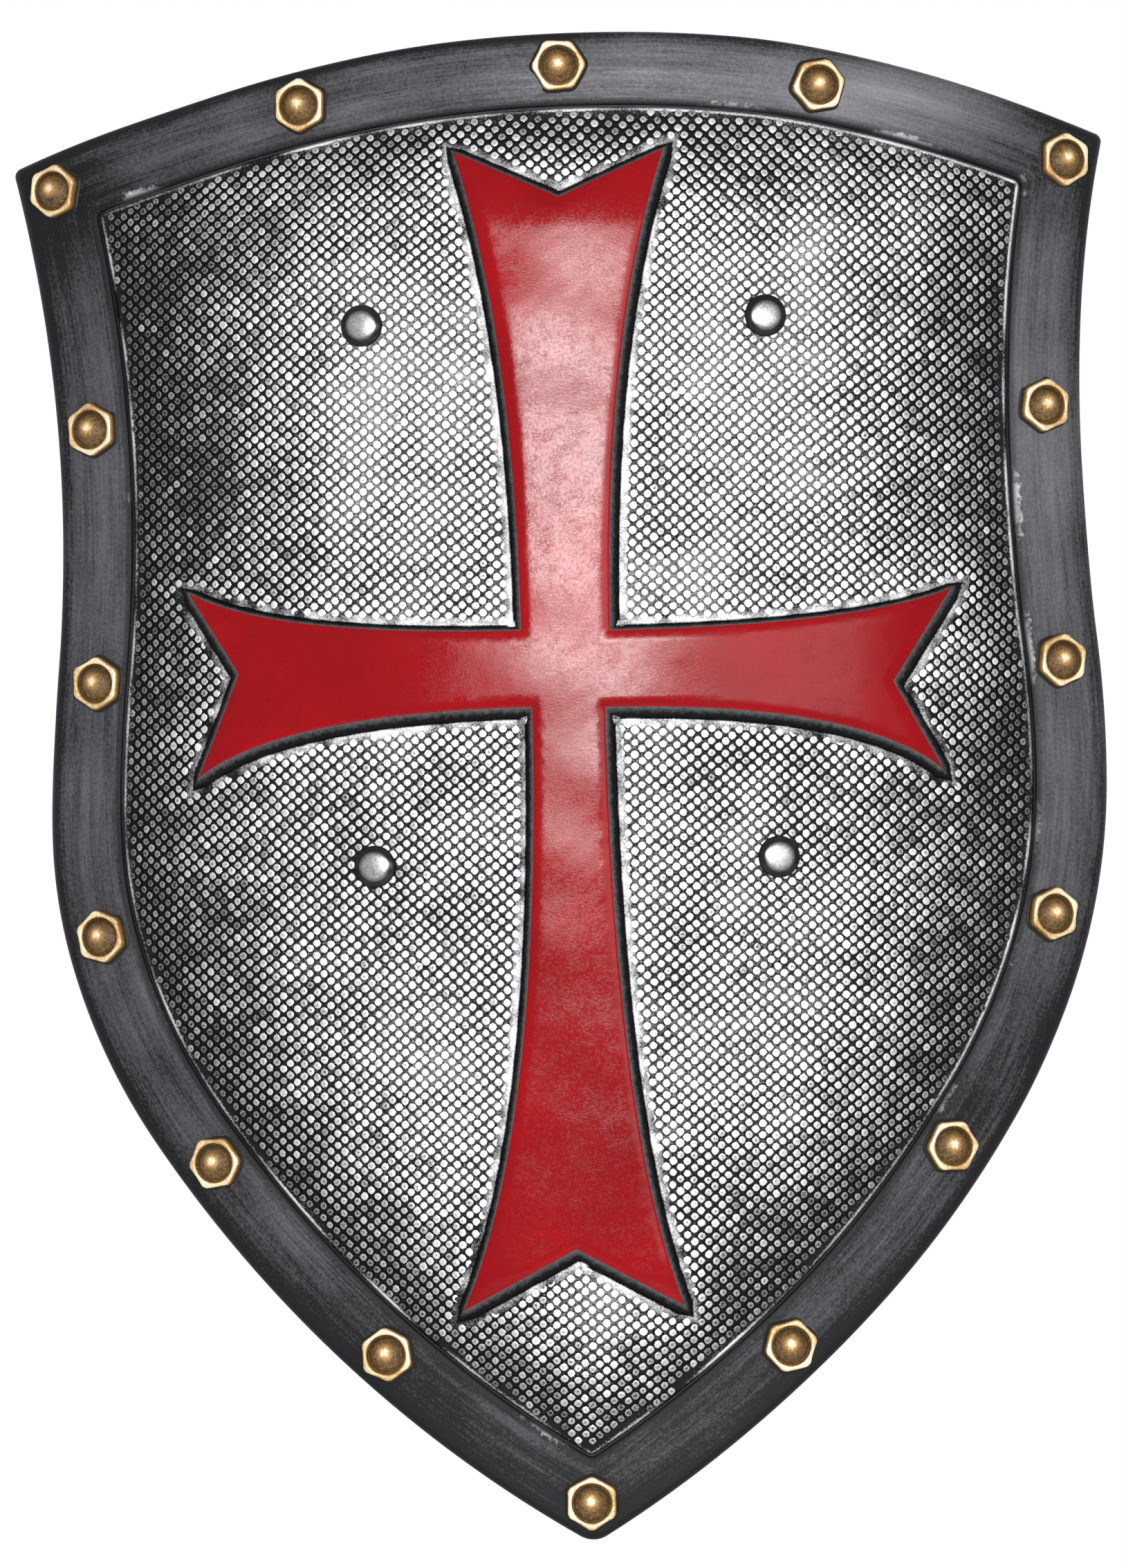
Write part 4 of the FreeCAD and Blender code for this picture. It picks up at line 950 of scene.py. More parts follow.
skinBottom = shield["band"] + field["glue"]
skinTop = shield["band"] + field["edgeHeight"] + field["rise"]
contour = [(outlineLoop(field["inset"], shield["cornerRound"], shield["cornerRound"]), skinBottom)]
for step, lift in field["lip"]:
    loop = outlineLoop(field["inset"] + step, shield["cornerRound"], shield["cornerRound"])
    contour.append((loop, fieldHeight(*loop.T) + lift))
shape, faces = plate([contour] + postHoles((skinBottom, skinTop)), fieldHeight, skinBottom, field["grid"])
x, z = shape[:, 0], shape[:, 1]
lip = ramp(np.abs(borderDistance(x, z) - rubbed["lipAt"]), rubbed["lipWidth"], 0)
scuffAndPaintedLight = rubbed["lip"] * lip * (1 + 0.5 * ripple(x, z, 40, 51))
# painted light: the skin between the beads lightens where the field is painted lighter
scuffAndPaintedLight += rubbed["gain"] * np.clip(silverAndPaintedLight(x, z) - rubbed["from"], 0, rubbed["most"])
skin = makePiece("fieldSkin", curved(*shape.T), faces, [finishes["skin"]],
                 replaced=["field_skin"], values={"scuffAndPaintedLight": scuffAndPaintedLight}, sharp=60)
makeEdging(skin)


def beadSpots():
    # whole steps of the two lattice directions, bent by slow waves, kept off cross, posts and border
    numbers = np.arange(-beads["reach"], beads["reach"])
    i, j = np.meshgrid(numbers, numbers)
    i, j = i.ravel(), j.ravel()
    flat = i[:, None] * np.array(beads["acrossStep"]) + j[:, None] * np.array(beads["upStep"])
    flat = flat + np.array(beads["origin"])
    aside, low, high = beads["box"]
    q, z = flat[(np.abs(flat[:, 0]) < aside) & (flat[:, 1] > low) & (flat[:, 1] < high)].T
    q = q + beads["bend"] * ripple(q, z, beads["bendSize"], 61)
    z = z + beads["bend"] * ripple(q, z, beads["bendSize"], 62)
    x = beads["curve"] * np.sin(q / beads["curve"])
    roll = np.random.default_rng(63)
    x, z = x + roll.normal(0, beads["jitter"], len(x)), z + roll.normal(0, beads["jitter"], len(z))
    spots = np.column_stack([x, z])
    spots = spots[borderDistance(x, z) > beads["borderMargin"]]
    spots = spots[~inLoops(spots, [offsetLoop(footLoop, beads["crossMargin"])])]
    for centre in postCentres(posts["seatRadius"]):
        spots = spots[np.linalg.norm(spots - centre, axis=1) > beads["postMargin"]]
    return spots


def beadTemplate():
    # a rounded diamond of eight sides: foot, shoulder, flat rim and a shallow dimple
    sides, tall = beads["sides"], beads["height"]
    ids = np.arange(sides)
    angle = fullTurn * ids / sides
    spread = np.where(ids % 2, 1.0, beads["corner"])
    rings = ((1.0, -beads["sunk"], 0.0), (0.98, 0.3 * tall, 0.1), (0.89, 0.8 * tall, 0.6), (0.7, tall, 1.0))
    points = [np.column_stack([share * spread * np.cos(angle), share * spread * np.sin(angle),
                               np.full(sides, h)]) for share, h, crown in rings]
    points.append([[0, 0, 0.84 * tall]])
    crown = np.append(np.repeat([crown for share, h, crown in rings], sides), 0.7)
    last = sides * (len(rings) - 1)
    fan = np.stack([ids + last, np.roll(ids, -1) + last, np.full(sides, last + sides)], 1)
    return np.concatenate(points), crown, tubeFaces(sides, len(rings)), fan, ids[::-1][None]


def beadPiece(name, spots, seed):
    # the template at each spot, with its own size, turn, height and uneven sides
    roll = np.random.default_rng(seed)
    spot, across, up, out = surfaceFrame(*spots.T, fieldHeight)
    template, crown, *blocks = beadTemplate()
    count = len(spots)
    size = beads["radius"] * roll.normal(1, beads["sizeSpread"], (count, 1, 1))
    turn = roll.normal(beads["turn"], beads["turnSpread"], count)
    c, s = np.cos(turn)[:, None, None], np.sin(turn)[:, None, None]
    own = np.tile(roll.normal(1, beads["sideSpread"], (count, beads["sides"])), (1, 4))
    size = size * np.concatenate([own, np.ones((count, 1))], 1)[:, :, None]
    fromCross = toNearest(spots, footLoop)
    begins, reach, least = beads["lowBy"]
    tall = np.clip((fromCross - begins) / reach, least, 1)[:, None, None]
    tall = tall * roll.normal(1, beads["tallSpread"], (count, 1, 1))
    tx, tz, th = template[None, :, 0:1], template[None, :, 1:2], template[None, :, 2:3]
    points = size * ((tx * c - tz * s) * across[:, None] + (tx * s + tz * c) * up[:, None])
    points = spot[:, None] + points + th * tall * out[:, None]
    # tone: the silver together with the field's painted light and shade
    tone = silverAndPaintedLight(*spots.T) + roll.normal(0, beads["toneSpread"], count)
    tone = tone + beads["byCross"] * np.exp(-(fromCross / beads["byCrossReach"]) ** 2)
    tone = np.repeat(np.clip(tone, beads["leastTone"], 1), len(template))
    values = {"tone": tone, "crown": np.tile(crown, count)}
    shift = (np.arange(count) * len(template))[:, None, None]
    blocks = [(block[None] + shift).reshape(-1, block.shape[1]) for block in blocks]
    piece = makePiece(name, points.reshape(-1, 3), blocks, [finishes["beads"]],
                      values=values)
    piece.parent = skin
    return count


spots = beadSpots()
total = 0
for name, way, seed in (("beadsUpperLeft", (-1, 1), 71), ("beadsUpperRight", (1, 1), 72),
                        ("beadsLowerLeft", (-1, -1), 73), ("beadsLowerRight", (1, -1), 74)):
    side = (spots - beads["middle"]) * way
    total += beadPiece(name, spots[(side[:, 0] >= 0) & (side[:, 1] > 0)], seed)
print("beads ready", total)

# Studs

# spots: x, z and the turn of the hexagon in degrees
stud = {"flats": 22.8, "flange": 1.2, "height": 5.2, "dish": 9.25, "floor": 2.6, "rise": 5.0,
        "around": 60, "domeRings": 14, "crinkle": 0.16, "crinkleSize": 1.9, "crinkleReach": 6.5,
        "fadeSteepness": 2.2, "paintedGlint": 3.0, "paintedGlintAt": (-0.3, 1.1), "paintedGlintGain": 1.15, "domeTone": 0.10,
        "paintedLowerLight": 0.008, "stained": 3, "stainAt": (0.3, -4.4), "stainSize": (2.1, 1.1), "stain": 0.95,
        "rimClouds": (0.16, 0.1), "uneven": (0.14, 0.1), "sunk": 0.3,
        "spots": ((0.6, 244.1, 30), (-119.3, 229.8, 4), (120.8, 233.0, 20), (-235.4, 196.2, 9),
                  (236.2, 198.7, 2), (-221.8, 83.0, -2), (221.7, 83.1, 7), (-224.9, -36.2, 3),
                  (226.5, -36.5, 8), (-223.0, -155.2, -12), (221.5, -155.4, 9), (-171.5, -261.9, 25),
                  (170.4, -262.4, 29), (-93.6, -352.2, -5), (92.6, -352.5, 17), (-0.5, -422.7, 1))}


def studRings(angle, seed):
    # distance from the axis, height, wash with painted shadow at the foot and up the side, and gild, ring by
    # ring: foot, side, rim, dish, dome
    flat, h, dish = stud["flats"] / 2, stud["height"], stud["dish"]
    inHex = (angle + math.pi / 6) % (math.pi / 3) - math.pi / 6
    broad, fine = stud["uneven"]
    uneven = broad * np.sin(3 * angle + seed) + fine * np.sin(5 * angle + 2 * seed)
    hexagon = np.minimum(flat / np.cos(inHex), flat * 1.105) + uneven
    foot, rim, bowl = hexagon + stud["flange"], hexagon - 0.9, dish + 0.3 * uneven
    rings = [(foot, -stud["sunk"], 1.0, 0.0), (foot - 0.1, 0.22, 1.0, 0.0), (hexagon + 0.25, 0.3, 1.0, 0.0),
             (hexagon + 0.05, 0.7, 0.85, 0.1), (hexagon - 0.1, 2.6, 0.3, 0.35),
             (hexagon - 0.2, h - 1.0, 0.0, 0.6), (hexagon - 0.5, h - 0.3, 0.0, 0.85), (rim, h, 0.0, 1.0),
             (rim * 0.4 + bowl * 0.6, h + 0.02, 0.0, 1.02), (bowl + 0.1, h - 0.25, 0.0, 0.75),
             (bowl - 0.15, h - 0.9, 0.0, 0.3), (bowl - 0.3, stud["floor"] + 0.6, 0.12, 0.06)]
    radius = dish - 0.5
    ball = (radius ** 2 + stud["rise"] ** 2) / (2 * stud["rise"])
    for r in radius * np.linspace(1, 0.06, stud["domeRings"]):
        height = stud["floor"] + stud["rise"] - ball + math.sqrt(ball ** 2 - r ** 2)
        rings.append((np.full(len(angle), r), height, 0.0, math.nan))
    distance, *others = zip(*rings)
    return np.stack(distance), *(np.array(values)[:, None] for values in others)


def makeStud(number, x, z, turn):
    # the rings carried round an axis that stands square on the band; the gild value is nan on the dome, which
    # gets a painted highlight instead and is painted a little lighter towards the bottom
    count = stud["around"]
    ids = np.arange(count)
    angle = fullTurn * ids / count
    r, h, washAndShadow, gildAndHighlight = studRings(angle - math.radians(30), number * 1.7)
    x, z = np.array([x]), np.array([z])
    frameAt = surfaceFrame(x, z - lifted(x, z), lambda a, b: shield["studs"] + 0 * a)
    spot, across, up, out = (part[0] for part in frameAt)
    bearing = angle - math.radians(turn) + math.radians(90)
    lx, lz = r * np.cos(bearing), r * np.sin(bearing)
    fade = (1 - r.max(1, keepdims=True) / stud["crinkleReach"]) * stud["fadeSteepness"]
    fade = np.clip(fade, 0, 1)
    h = h + stud["crinkle"] * ripple(lx, lz, stud["crinkleSize"], number + 200) * fade
    points = spot + lx[..., None] * across + lz[..., None] * up + h[..., None] * out
    (gx, gz), (sx, sz), (wide, tall) = stud["paintedGlintAt"], stud["stainAt"], stud["stainSize"]
    # painted highlight: a bright spot a little up and left of the dome's middle; the dome is also painted
    # lighter towards the bottom
    paintedGlint = stud["paintedGlintGain"] * np.exp(-((lx - gx) ** 2 + (lz - gz) ** 2) / stud["paintedGlint"] ** 2)
    dome = stud["domeTone"] - stud["paintedLowerLight"] * lz + paintedGlint
    broad, fine = stud["rimClouds"]
    onRim = broad * np.sin(angle + number * 2.1) + fine * np.sin(3 * angle + number)
    gildAndHighlight = np.where(np.isnan(gildAndHighlight), dome, gildAndHighlight + onRim * (gildAndHighlight > 0.5))
    stain = stud["stain"] * np.exp(-((lx - sx) / wide) ** 2 - ((lz - sz) / tall) ** 2)
    stain = stain * (number == stud["stained"])
    faces = [tubeFaces(count, len(r)), (ids + (len(r) - 1) * count)[None], ids[::-1][None]]
    makePiece("stud%02d" % (number + 1), points.reshape(-1, 3), faces, [finishes["stud"]],
              replaced=["stud_%02d" % (number + 1)],
              values={"washAndShadow": np.clip(washAndShadow + stain, 0, 1).ravel(), "gildAndHighlight": gildAndHighlight.ravel()})


for number, place in enumerate(stud["spots"]):
    makeStud(number, *place)
print("studs ready", len(stud["spots"]))

# Straps, sleeve and keeper on the back

# a bow is its run, rise, degrees and foot radius
strap = {"thick": 3.2, "half": 20.0, "seat": 0.45, "tabTop": 143.0, "tab": 31.5, "tabRound": 8.0,
         "holeAt": 17.5, "postHole": 3.2, "edge": 0.9, "holeEdge": 0.3, "wander": 0.22, "swell": 0.07,
         "sharp": 70, "columns": 9, "gridHalf": 0.86, "clear": 0.35, "burnish": 1.4, "burnishReach": 1.6}
bar = {"up": 2.5, "fold": 2.35, "closing": 35.0, "closeRadius": 6.0, "gap": 0.3}
gripStrap = {"bow": (61.5, 50, 60, 25), "top": 100}
buckleHalf = {"bow": (72, 66, 75, 25), "down": 37, "end": 24, "endRound": 2.0, "slotReach": 12,
              "slotHalf": 2.2, "rivetHeight": 31.5, "rivetAcross": 10, "rivetHole": 1.65}
holeHalf = {"bow": (124, 104, 70, 30), "end": 28, "holes": 6, "firstHole": 34, "pitch": 20, "hole": 2.3}


def bow(run, rise, turn, footRadius):
    # foot arc, slope and shoulder arc: (both radii) = (run sin - rise cos) / (1 - cos)
    a = math.radians(turn)
    both = (run * math.sin(a) - rise * math.cos(a)) / (1 - math.cos(a))
    slope = (rise * math.sin(a) - run * (1 - math.cos(a))) / (1 - math.cos(a))
    return [(footRadius, turn), (slope, 0), (both - footRadius, -turn)]


def walked(moves):
    # each move's first place and heading, with its length; a move is (radius, turn) or (length, 0)
    spot, heading, done, steps = np.array([strap["seat"], strap["tabTop"]]), -math.pi / 2, 0.0, []
    for size, turn in moves:
        a = math.radians(turn)
        long = size * abs(a) if turn else size
        steps.append((done, long, spot, heading, size, np.sign(a)))
        done += long
        spot = spotOn(steps[-1], np.array([done]))[0][0]
        heading += a
    return steps


def lengthOf(steps):
    # where the last step ends
    return steps[-1][0] + steps[-1][1]


def spotOn(step, s):
    # along a straight: p + t d; along an arc: centre - side * radius * normal(heading + side t / radius)
    begin, long, spot, heading, size, side = step
    t = (s - begin)[:, None]
    if side == 0:
        turned = np.full(len(s), heading)
        return spot + t * np.array([math.cos(heading), math.sin(heading)]), turned
    turned = heading + side * t[:, 0] / size
    centre = spot + np.array([-math.sin(heading), math.cos(heading)]) * side * size
    return centre - side * size * np.column_stack([-np.sin(turned), np.cos(turned)]), turned


def onPath(steps, s):
    # place and heading at each length s, by the last step that begins before it
    place, heading = spotOn(steps[0], s)
    for step in steps[1:]:
        later = s >= step[0] - 1e-9
        place[later], heading[later] = spotOn(step, s[later])
    return place, heading


def stationsOf(steps, straightStep=4.0, arcStep=math.radians(8)):
    # where the strap's rows lie: evenly on straights, by angle on arcs
    rows = [begin + long * np.arange(n) / n for begin, long, spot, heading, size, side in steps
            for n in [max(1, math.ceil(long / (straightStep if side == 0 else size * arcStep)))]]
    return np.append(np.concatenate(rows), lengthOf(steps))


def turnedOut(across, outward, up, side):
    # from the strap's own frame to the shield's, square to the back at the posts
    a, radius = side * postAngle, shield["backRadius"]
    return np.column_stack([radius * math.sin(a) + across * math.cos(a) - outward * math.sin(a),
                            radius * (1 - math.cos(a)) + across * math.sin(a) + outward * math.cos(a), up])


def onStrap(steps, w, s, h, side, mirrored):
    # place on the path, then h along its normal and w across; at last turned about the post's angle
    place, heading = onPath(steps, s)
    y, z = place[:, 0] - np.sin(heading) * h, place[:, 1] + np.cos(heading) * h
    return turnedOut(w * mirrored, y, z * mirrored, side)


def corner(centre, radius, first, count=8):
    # a quarter circle, anticlockwise from the angle first
    angle = math.radians(first) + math.pi / 2 * np.arange(count) / (count - 1)
    return np.array(centre) + radius * np.column_stack([np.cos(angle), np.sin(angle)])


def stripLoop(rows, half, startRound, endRound):
    # anticlockwise round the flat strap: up its right side, round the end and back down
    long, clear = rows[-1], 0.3
    middle = rows[(rows > startRound + clear) & (rows < long - endRound - clear)]
    right = np.column_stack([np.full(len(middle), half), middle])
    cap = [corner((way * (half - endRound), long - endRound), endRound, first)
           for way, first in ((1, 0), (-1, 90))]
    base = [corner((way * (half - startRound), startRound), startRound, first)
            for way, first in ((-1, 180), (1, 270))]
    loop = np.concatenate([base[1], right, *cap, (right * [-1, 1])[::-1], base[0]])
    return loop[np.linalg.norm(loop - np.roll(loop, 1, 0), axis=1) > 0.02]


def slotLoop(rows, half, first, last):
    # clockwise round a slot with round ends, with a point at each of the strap's rows
    middle = rows[(rows > first + half) & (rows < last - half)]
    right = np.column_stack([np.full(len(middle), half), middle])
    cap = [corner((0, last - half), half, 0), corner((0, last - half), half, 90)[1:]]
    base = [corner((0, first + half), half, 180), corner((0, first + half), half, 270)[1:]]
    return np.concatenate([right, *cap, (right * [-1, 1])[::-1], *base])[::-1]


def punched(*spots):
    # round holes at (across, along, radius)
    return [circleLoop(spot, radius, 16) for *spot, radius in spots]


def strapPiece(name, node, steps, endRound, holes, side, mirrored=1):
    # a flat strap with rounded edges and holes, uneven by slow waves, laid along its path
    thick, r, e, half = strap["thick"], strap["edge"], strap["holeEdge"], strap["half"]
    rounded = [(r, 0), (0.3 * r, 0.3 * r), (0, r), (0, thick - r), (0.3 * r, thick - 0.3 * r), (r, thick)]
    bored = [(e, 0), (0, e), (0, thick - e), (e, thick)]
    rows = stationsOf(steps)
    outline = stripLoop(rows, half, strap["tabRound"], endRound)
    holes = punched((0, strap["holeAt"], strap["postHole"])) + holes
    w, s = np.meshgrid(np.linspace(-1, 1, strap["columns"]) * strap["gridHalf"] * half, rows[1:-1])
    contours = [[(offsetLoop(loop, -inset), h) for inset, h in section]
                for loop, section in [(outline, rounded)] + [(hole, bored) for hole in holes]]
    grid = np.column_stack([w.ravel(), s.ravel()])
    shape, faces = plate(contours, thick, 0.0, grid=grid, clear=strap["clear"])
    w, s, h = shape.T
    toEdge = toNearest(shape[:, :2], np.concatenate([outline] + holes))
    values = {"edge": np.clip(strap["burnish"] - toEdge / strap["burnishReach"], 0, 1), "across": w}
    w = w + strap["wander"] * ripple(s, 0 * s, 60, len(name))
    h = h + strap["swell"] * ripple(s, w, 25, len(name) + 7) * (h > thick / 2)
    makePiece(name, onStrap(steps, w, s, h, side, mirrored), faces, [finishes["leather"]],
              replaced=[node], values=values, sharp=strap["sharp"])


tab = [(strap["tab"], 0)]
climb = bow(*gripStrap["bow"])
steps = walked(tab + climb + [(gripStrap["top"], 0)] + climb[::-1] + tab)
holes = punched((0, lengthOf(steps) - strap["holeAt"], strap["postHole"]))
strapPiece("gripStrap", "hand_grip_strap", steps, strap["tabRound"], holes, -1)

closing = math.radians(bar["closing"])
gain = bar["fold"] * (1 + math.cos(closing)) - bar["gap"]
lap = (gain - bar["closeRadius"] * (1 - math.cos(closing))) / math.sin(closing)
folded = [(buckleHalf["down"], 0), (bar["fold"], -180 - bar["closing"]), (lap, 0),
          (bar["closeRadius"], bar["closing"]), (buckleHalf["end"], 0)]
steps = walked(tab + bow(*buckleHalf["bow"]) + folded)
downFrom, foldFrom = steps[4][0], steps[5][0]


def reaching(z, goingUp):
    # how far along the strap a height is met, on the way down to the bar or back up from it
    s = np.linspace(*((foldFrom, lengthOf(steps)) if goingUp else (downFrom, foldFrom)), 4000)
    return s[np.abs(onPath(steps, s)[0][:, 1] - z).argmin()]


slotEnds = [reaching(bar["up"] + buckleHalf["slotReach"], goingUp) for goingUp in (False, True)]
holes = punched(*[(way * buckleHalf["rivetAcross"], reaching(buckleHalf["rivetHeight"], goingUp),
                   buckleHalf["rivetHole"]) for way in (-1, 1) for goingUp in (False, True)])
holes.append(slotLoop(stationsOf(steps), buckleHalf["slotHalf"], *slotEnds))
strapPiece("buckleHalf", "forearm_strap_buckle_half", steps, buckleHalf["endRound"], holes, 1)

steps = walked(tab + bow(*holeHalf["bow"]) + [(holeHalf["end"], 0)])
firstHole = lengthOf(steps) - holeHalf["firstHole"]
holes = punched(*[(0, firstHole - holeHalf["pitch"] * k, holeHalf["hole"])
                  for k in range(holeHalf["holes"])])
strapPiece("holeHalf", "forearm_strap_hole_half", steps, strap["half"], holes, 1, mirrored=-1)


def roundedLoop(halfWide, halfDeep, radius, count=9):
    # a rectangle with round corners, anticlockwise, with extra points along its sides
    ends = [corner((sx * (halfWide - radius), sy * (halfDeep - radius)), radius, first, count)
            for sx, sy, first in ((1, 1, 0), (-1, 1, 90), (-1, -1, 180), (1, -1, 270))]
    parts = []
    for this, following in zip(ends, ends[1:] + ends[:1]):
        n = max(2, int(np.linalg.norm(following[0] - this[-1]) / 1.5))
        parts += [this[:-1], this[-1] + (following[0] - this[-1]) * (np.arange(n) / n)[:, None]]
    return np.concatenate(parts)


def outwards(points, faces):
    # turns the faces round where the volume that they enclose comes out negative
    a, b, c, d = (points[faces[:, k]] for k in range(4))
    volume = (np.cross(a, b) * c).sum() + (np.cross(a, c) * d).sum()
    return faces if volume > 0 else faces[:, ::-1]


def wrappedPiece(name, section, size, centre, side, finish, node, reshaped=None):
    # each point of the section, (out from the inner loop, height), is carried round a rounded rectangle
    halfWide, halfDeep, radius = size
    count = len(roundedLoop(halfWide, halfDeep, radius))
    loops = [roundedLoop(halfWide + o, halfDeep + o, radius + o) for o, z in section]
    loops = [loop[(np.arange(count) * len(loop) / count).astype(int)] for loop in loops]
    shape = np.stack([np.column_stack([loop, np.full(count, z)])
                      for loop, (o, z) in zip(loops, section)], 1)
    out = np.tile([o for o, z in section], count)
    across, deep, up = shape.reshape(-1, 3).T
    if reshaped is not None:
        across, deep = reshaped(across, deep, up, out)
    points = turnedOut(across, deep + centre, up, side)
    faces = outwards(points, wrapGrid(count, len(section))[0])
    edge = 0.8 * ramp(np.abs(np.abs(up - section[0][1]) - 1.0), 2, 0)
    return makePiece(name, points, [faces], [finish], replaced=[node], sharp=60,
                     values={"edge": edge, "across": 0 * up})


keeper = {"low": 16.0, "high": 25.0, "halfWide": 20.4, "near": 62.55, "far": 73.25, "wall": 2.0,
          "round": 0.6, "inner": 1.0}
r, wall, low, high = (keeper[name] for name in ("round", "wall", "low", "high"))
section = [(r, low), (wall - r, low), (wall - 0.3 * r, low + 0.3 * r), (wall, low + r),
           (wall, (low + high) / 2), (wall, high - r), (wall - 0.3 * r, high - 0.3 * r)]
section += [(wall - out, low + high - z) for out, z in section]
size = keeper["halfWide"], (keeper["far"] - keeper["near"]) / 2, keeper["inner"]
wrappedPiece("strapKeeper", section, size, (keeper["far"] + keeper["near"]) / 2, 1, finishes["leather"],
             "strap_keeper")

sleeve = {"half": 46.0, "halfWide": 20.3, "halfDeep": 1.8, "centre": 52.05, "wall": 2.85, "round": 1.4,
          "pinch": 0.55, "seamPinch": 0.7, "hem": 6.0, "inner": 1.0}


def sleeveSection():
    # inner wall, rolled end, padded outer wall with a pinch at each hem, rolled end
    wall, r, half = sleeve["wall"], sleeve["round"], sleeve["half"]
    rolled = [(wall / 2 - wall / 2 * math.cos(a), half - r + r * math.sin(a))
              for a in np.linspace(0, math.pi, 9)]
    heights = np.linspace(half - r, r - half, 63)[1:-1]
    hem = np.exp(-((np.abs(heights) - half + sleeve["hem"]) / 1.1) ** 2)
    outer = [(wall - sleeve["pinch"] * pinch, z) for z, pinch in zip(heights, hem)]
    inner = [(0.0, z) for z in np.linspace(r - half, half - r, 12)[1:-1]]
    return rolled + outer + [(o, -z) for o, z in rolled[::-1]] + inner


def sleevePadding(across, deep, up, out):
    # the back is drawn in along the seam and swells either side of it
    onOuter, back = ramp(out, 1.5, 2.5), ramp(deep, 3.0, 4.0)
    draw = sleeve["seamPinch"] * np.exp(-(across / 1.3) ** 2) + 0.12 * ripple(across, up, 22, 91)
    return across, deep - onOuter * back * draw + onOuter * (1 - back) * 0.1 * ripple(across, up, 20, 92)


size = sleeve["halfWide"], sleeve["halfDeep"], sleeve["inner"]
gripSleeve = wrappedPiece("gripSleeve", sleeveSection(), size, sleeve["centre"], -1, finishes["sleeve"],
                          "hand_grip_sleeve", sleevePadding)

# seam and hem: direction, lift, length and radius of a stitch
stitch = {"seam": ((0.96, 0.28), 0.35, 5.4, 0.42), "hem": ((1.0, 0.0), 0.3, 3.0, 0.38), "seamPitch": 4.6,
          "hemPitch": 4.2, "around": 6, "rings": 7}


def makeStitches(name, centres, along, lift, length, radius):
    # capsules sunk at both ends: a circle carried along an arched line
    around, rings = stitch["around"], stitch["rings"]
    ids = np.arange(around)
    t, angle = np.linspace(-1, 1, rings)[:, None], fullTurn * ids / around
    size = radius * np.sqrt(1 - 0.9 * t ** 2)
    run, aside = t * length / 2, size * np.cos(angle)
    arch = lift * (1 - t ** 2) - 0.25 * t ** 2 + size * np.sin(angle)
    offsets = np.stack([along[0] * run + along[1] * aside, along[1] * run - along[0] * aside, arch], -1)
    across, up, out = (np.array(centres)[:, None, None] + offsets).reshape(-1, 3).T
    points = turnedOut(across, out, up, -1)
    shift = around * rings * np.arange(len(centres))[:, None, None]
    quads = (tubeFaces(around, rings)[None] + shift).reshape(-1, 4)
    ends = (np.array([ids[::-1], ids + around * (rings - 1)])[None] + shift).reshape(-1, around)
    turned = outwards(points, quads)
    if turned[0, 0] != quads[0, 0]:
        ends = ends[:, ::-1]
    stitches = makePiece(name, points, [turned, ends], [finishes["thread"]])
    stitches.parent = gripSleeve


hemLine = sleeve["half"] - sleeve["hem"]
backFace = sleeve["halfDeep"] + sleeve["wall"] + sleeve["centre"]
seamStitches = [(0, up, backFace - 0.45) for up in np.arange(1.5 - hemLine, hemLine, stitch["seamPitch"])]
hemPlaces = np.append(*(np.arange(first, last, stitch["hemPitch"]) for first, last in ((-18, -2), (2.6, 19))))
hemStitches = [(w, way * hemLine, backFace - 0.5) for way in (-1, 1) for w in hemPlaces]
makeStitches("sleeveSeamStitches", seamStitches, *stitch["seam"])
makeStitches("sleeveHemStitches", hemStitches, *stitch["hem"])
print("straps ready")

# Camera, floor and light

view = {"distance": 4.0, "yaw": 0.88144, "pitch": -0.56508, "roll": 1.43008, "across": -0.00599,
        "up": -0.08909, "focal": 12393.9, "imageHeight": 2268, "sensor": 36.0, "near": 0.1, "far": 60.0}
yaw, pitch, roll = (math.radians(view[name]) for name in ("yaw", "pitch", "roll"))
back = Vector((math.sin(yaw) * math.cos(pitch), -math.cos(yaw) * math.cos(pitch), math.sin(pitch)))
levelWay = Vector((math.cos(yaw), math.sin(yaw), 0))
upright = back.cross(levelWay)
sideways = levelWay * math.cos(roll) - upright * math.sin(roll)
upwards = upright * math.cos(roll) + levelWay * math.sin(roll)
lens = bpy.data.cameras.new("camera")
lens.sensor_width = view["sensor"]
lens.lens = view["focal"] / view["imageHeight"] * view["sensor"]
lens.clip_start, lens.clip_end = view["near"], view["far"]
camera = linked("camera", lens)
place = Vector((view["across"], 0, view["up"])) + back * view["distance"]
camera.matrix_world = Matrix.Translation(place) @ Matrix((sideways, upwards, back)).transposed().to_4x4()
bpy.context.scene.camera = camera
bpy.context.scene.view_settings.view_transform = "Standard"

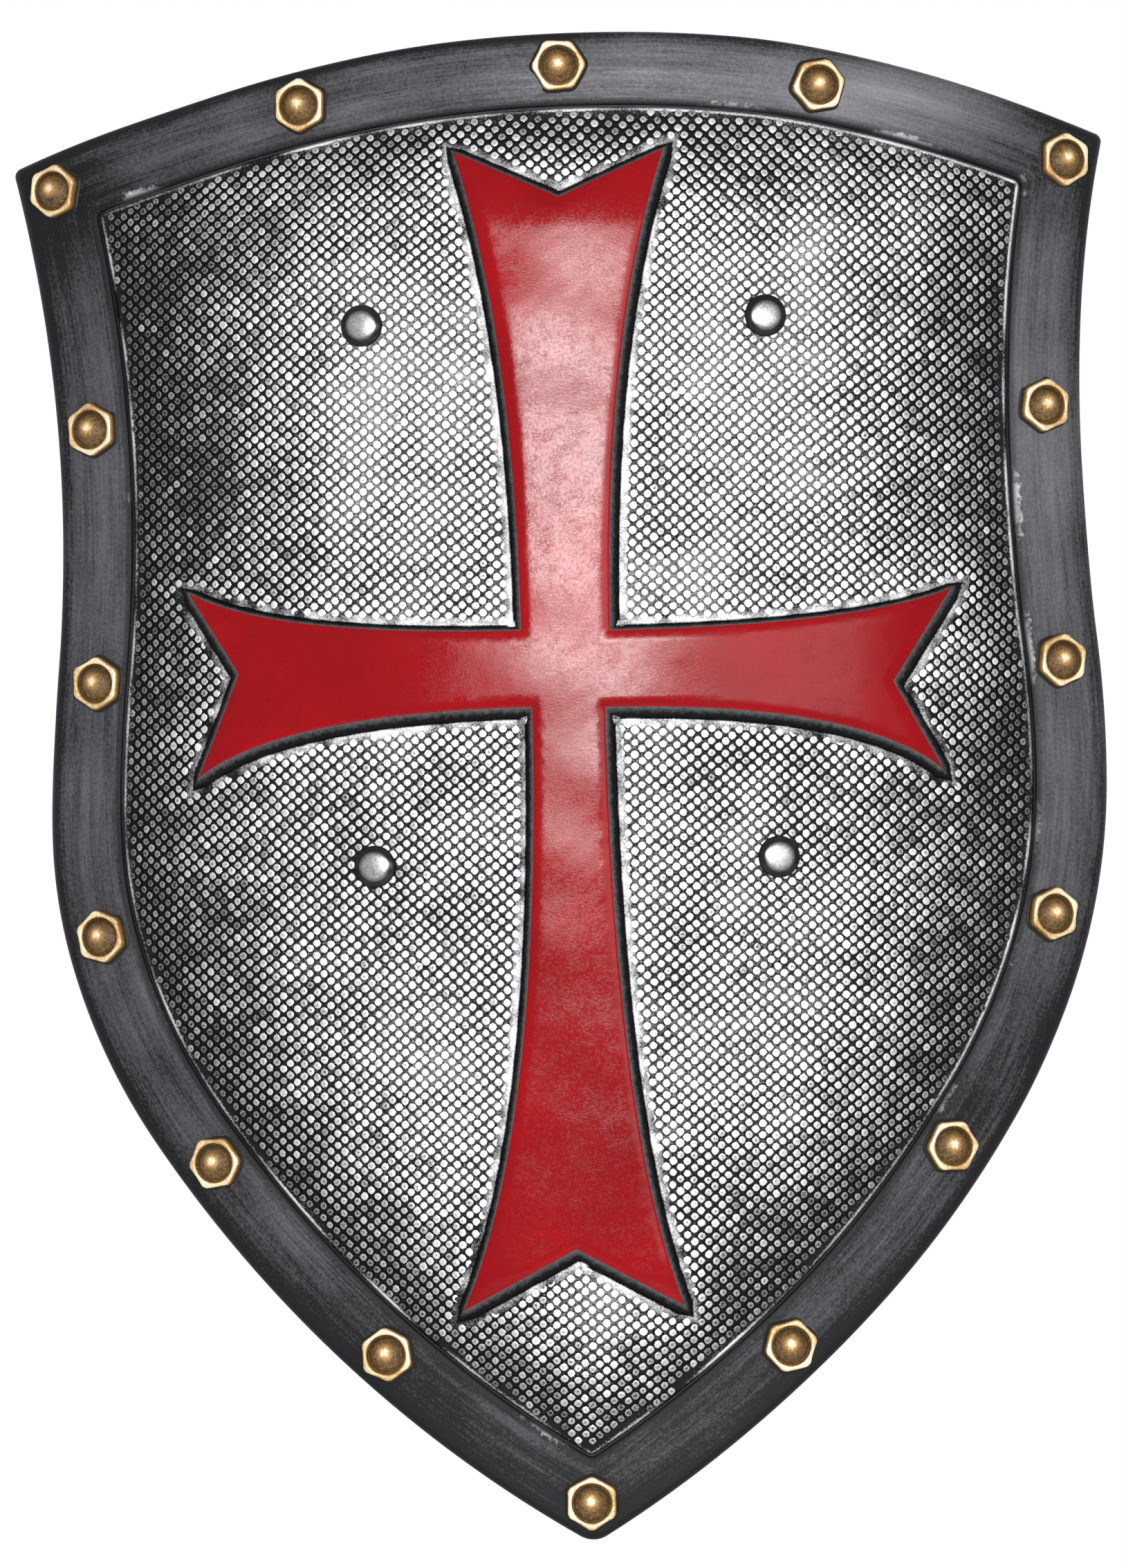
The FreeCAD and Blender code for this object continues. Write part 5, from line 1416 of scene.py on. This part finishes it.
studio = {"floorHeight": -0.95, "floorSize": 3.9, "floorGlow": 0.65, "ambient": 0.18,
          "target": (0, 0, -0.08),
          "lamps": (("key", (0.05, -2.4, 0.15), 0.9, 0.33, 43.0),
                    ("rightFill", (1.2, -3.0, 0.1), 1.2, 0.9, 13.0),
                    ("backFill", (0.4, 3.0, 1.4), 2.4, 1.6, 30.0))}


def seenRays(tree):
    # 1 for rays from the camera and for those that mirrors and glass pass on, 0 for the rest
    camera, glossy, through = (added(tree, "ShaderNodeLightPath", output=name)
                               for name in ("Is Camera Ray", "Is Glossy Ray", "Is Transmission Ray"))
    return camera.maths("MAXIMUM", glossy).maths("MAXIMUM", through)


def makeFloor():
    # a pale square well below the shield, which glows to the camera and in reflections
    size, height = studio["floorSize"], studio["floorHeight"]
    mesh = bpy.data.meshes.new("floor")
    corners = ((-1, -1), (1, -1), (1, 1), (-1, 1))
    mesh.from_pydata([(x * size, y * size, height) for x, y in corners], [], [(0, 1, 2, 3)])
    finish = Finish("paleFloor", Roughness=0.8, Emission_Color=(1, 1, 1, 1))
    (seenRays(finish.tree) * studio["floorGlow"]).into(finish.shader.inputs["Emission Strength"])
    mesh.materials.append(finish.done(finish.mix(finish.grain(3.0), (0.80,) * 3, (0.84,) * 3)))
    linked("floor", mesh)


def makeWorld():
    # white to the camera and in reflections, a plain grey as light
    world = bpy.data.worlds.new("studio")
    bpy.context.scene.world = world
    world.use_nodes = True
    backdrop = world.node_tree.nodes["Background"]
    seenRays(world.node_tree).level(0, 1, studio["ambient"], 1.0).into(backdrop.inputs["Strength"])
    backdrop.inputs["Color"].default_value = (1, 1, 1, 1)


def makeLamps():
    # elliptical lamps, each turned to face the same spot on the shield
    for name, spot, width, tall, power in studio["lamps"]:
        lamp = bpy.data.lights.new(name, "AREA")
        lamp.shape, lamp.size, lamp.size_y, lamp.energy = "ELLIPSE", width, tall, power
        facing = (Vector(studio["target"]) - Vector(spot)).to_track_quat("-Z", "Y").to_matrix().to_4x4()
        linked(name, lamp).matrix_world = Matrix.Translation(spot) @ facing


makeFloor()
makeWorld()
makeLamps()
print("camera and light ready")
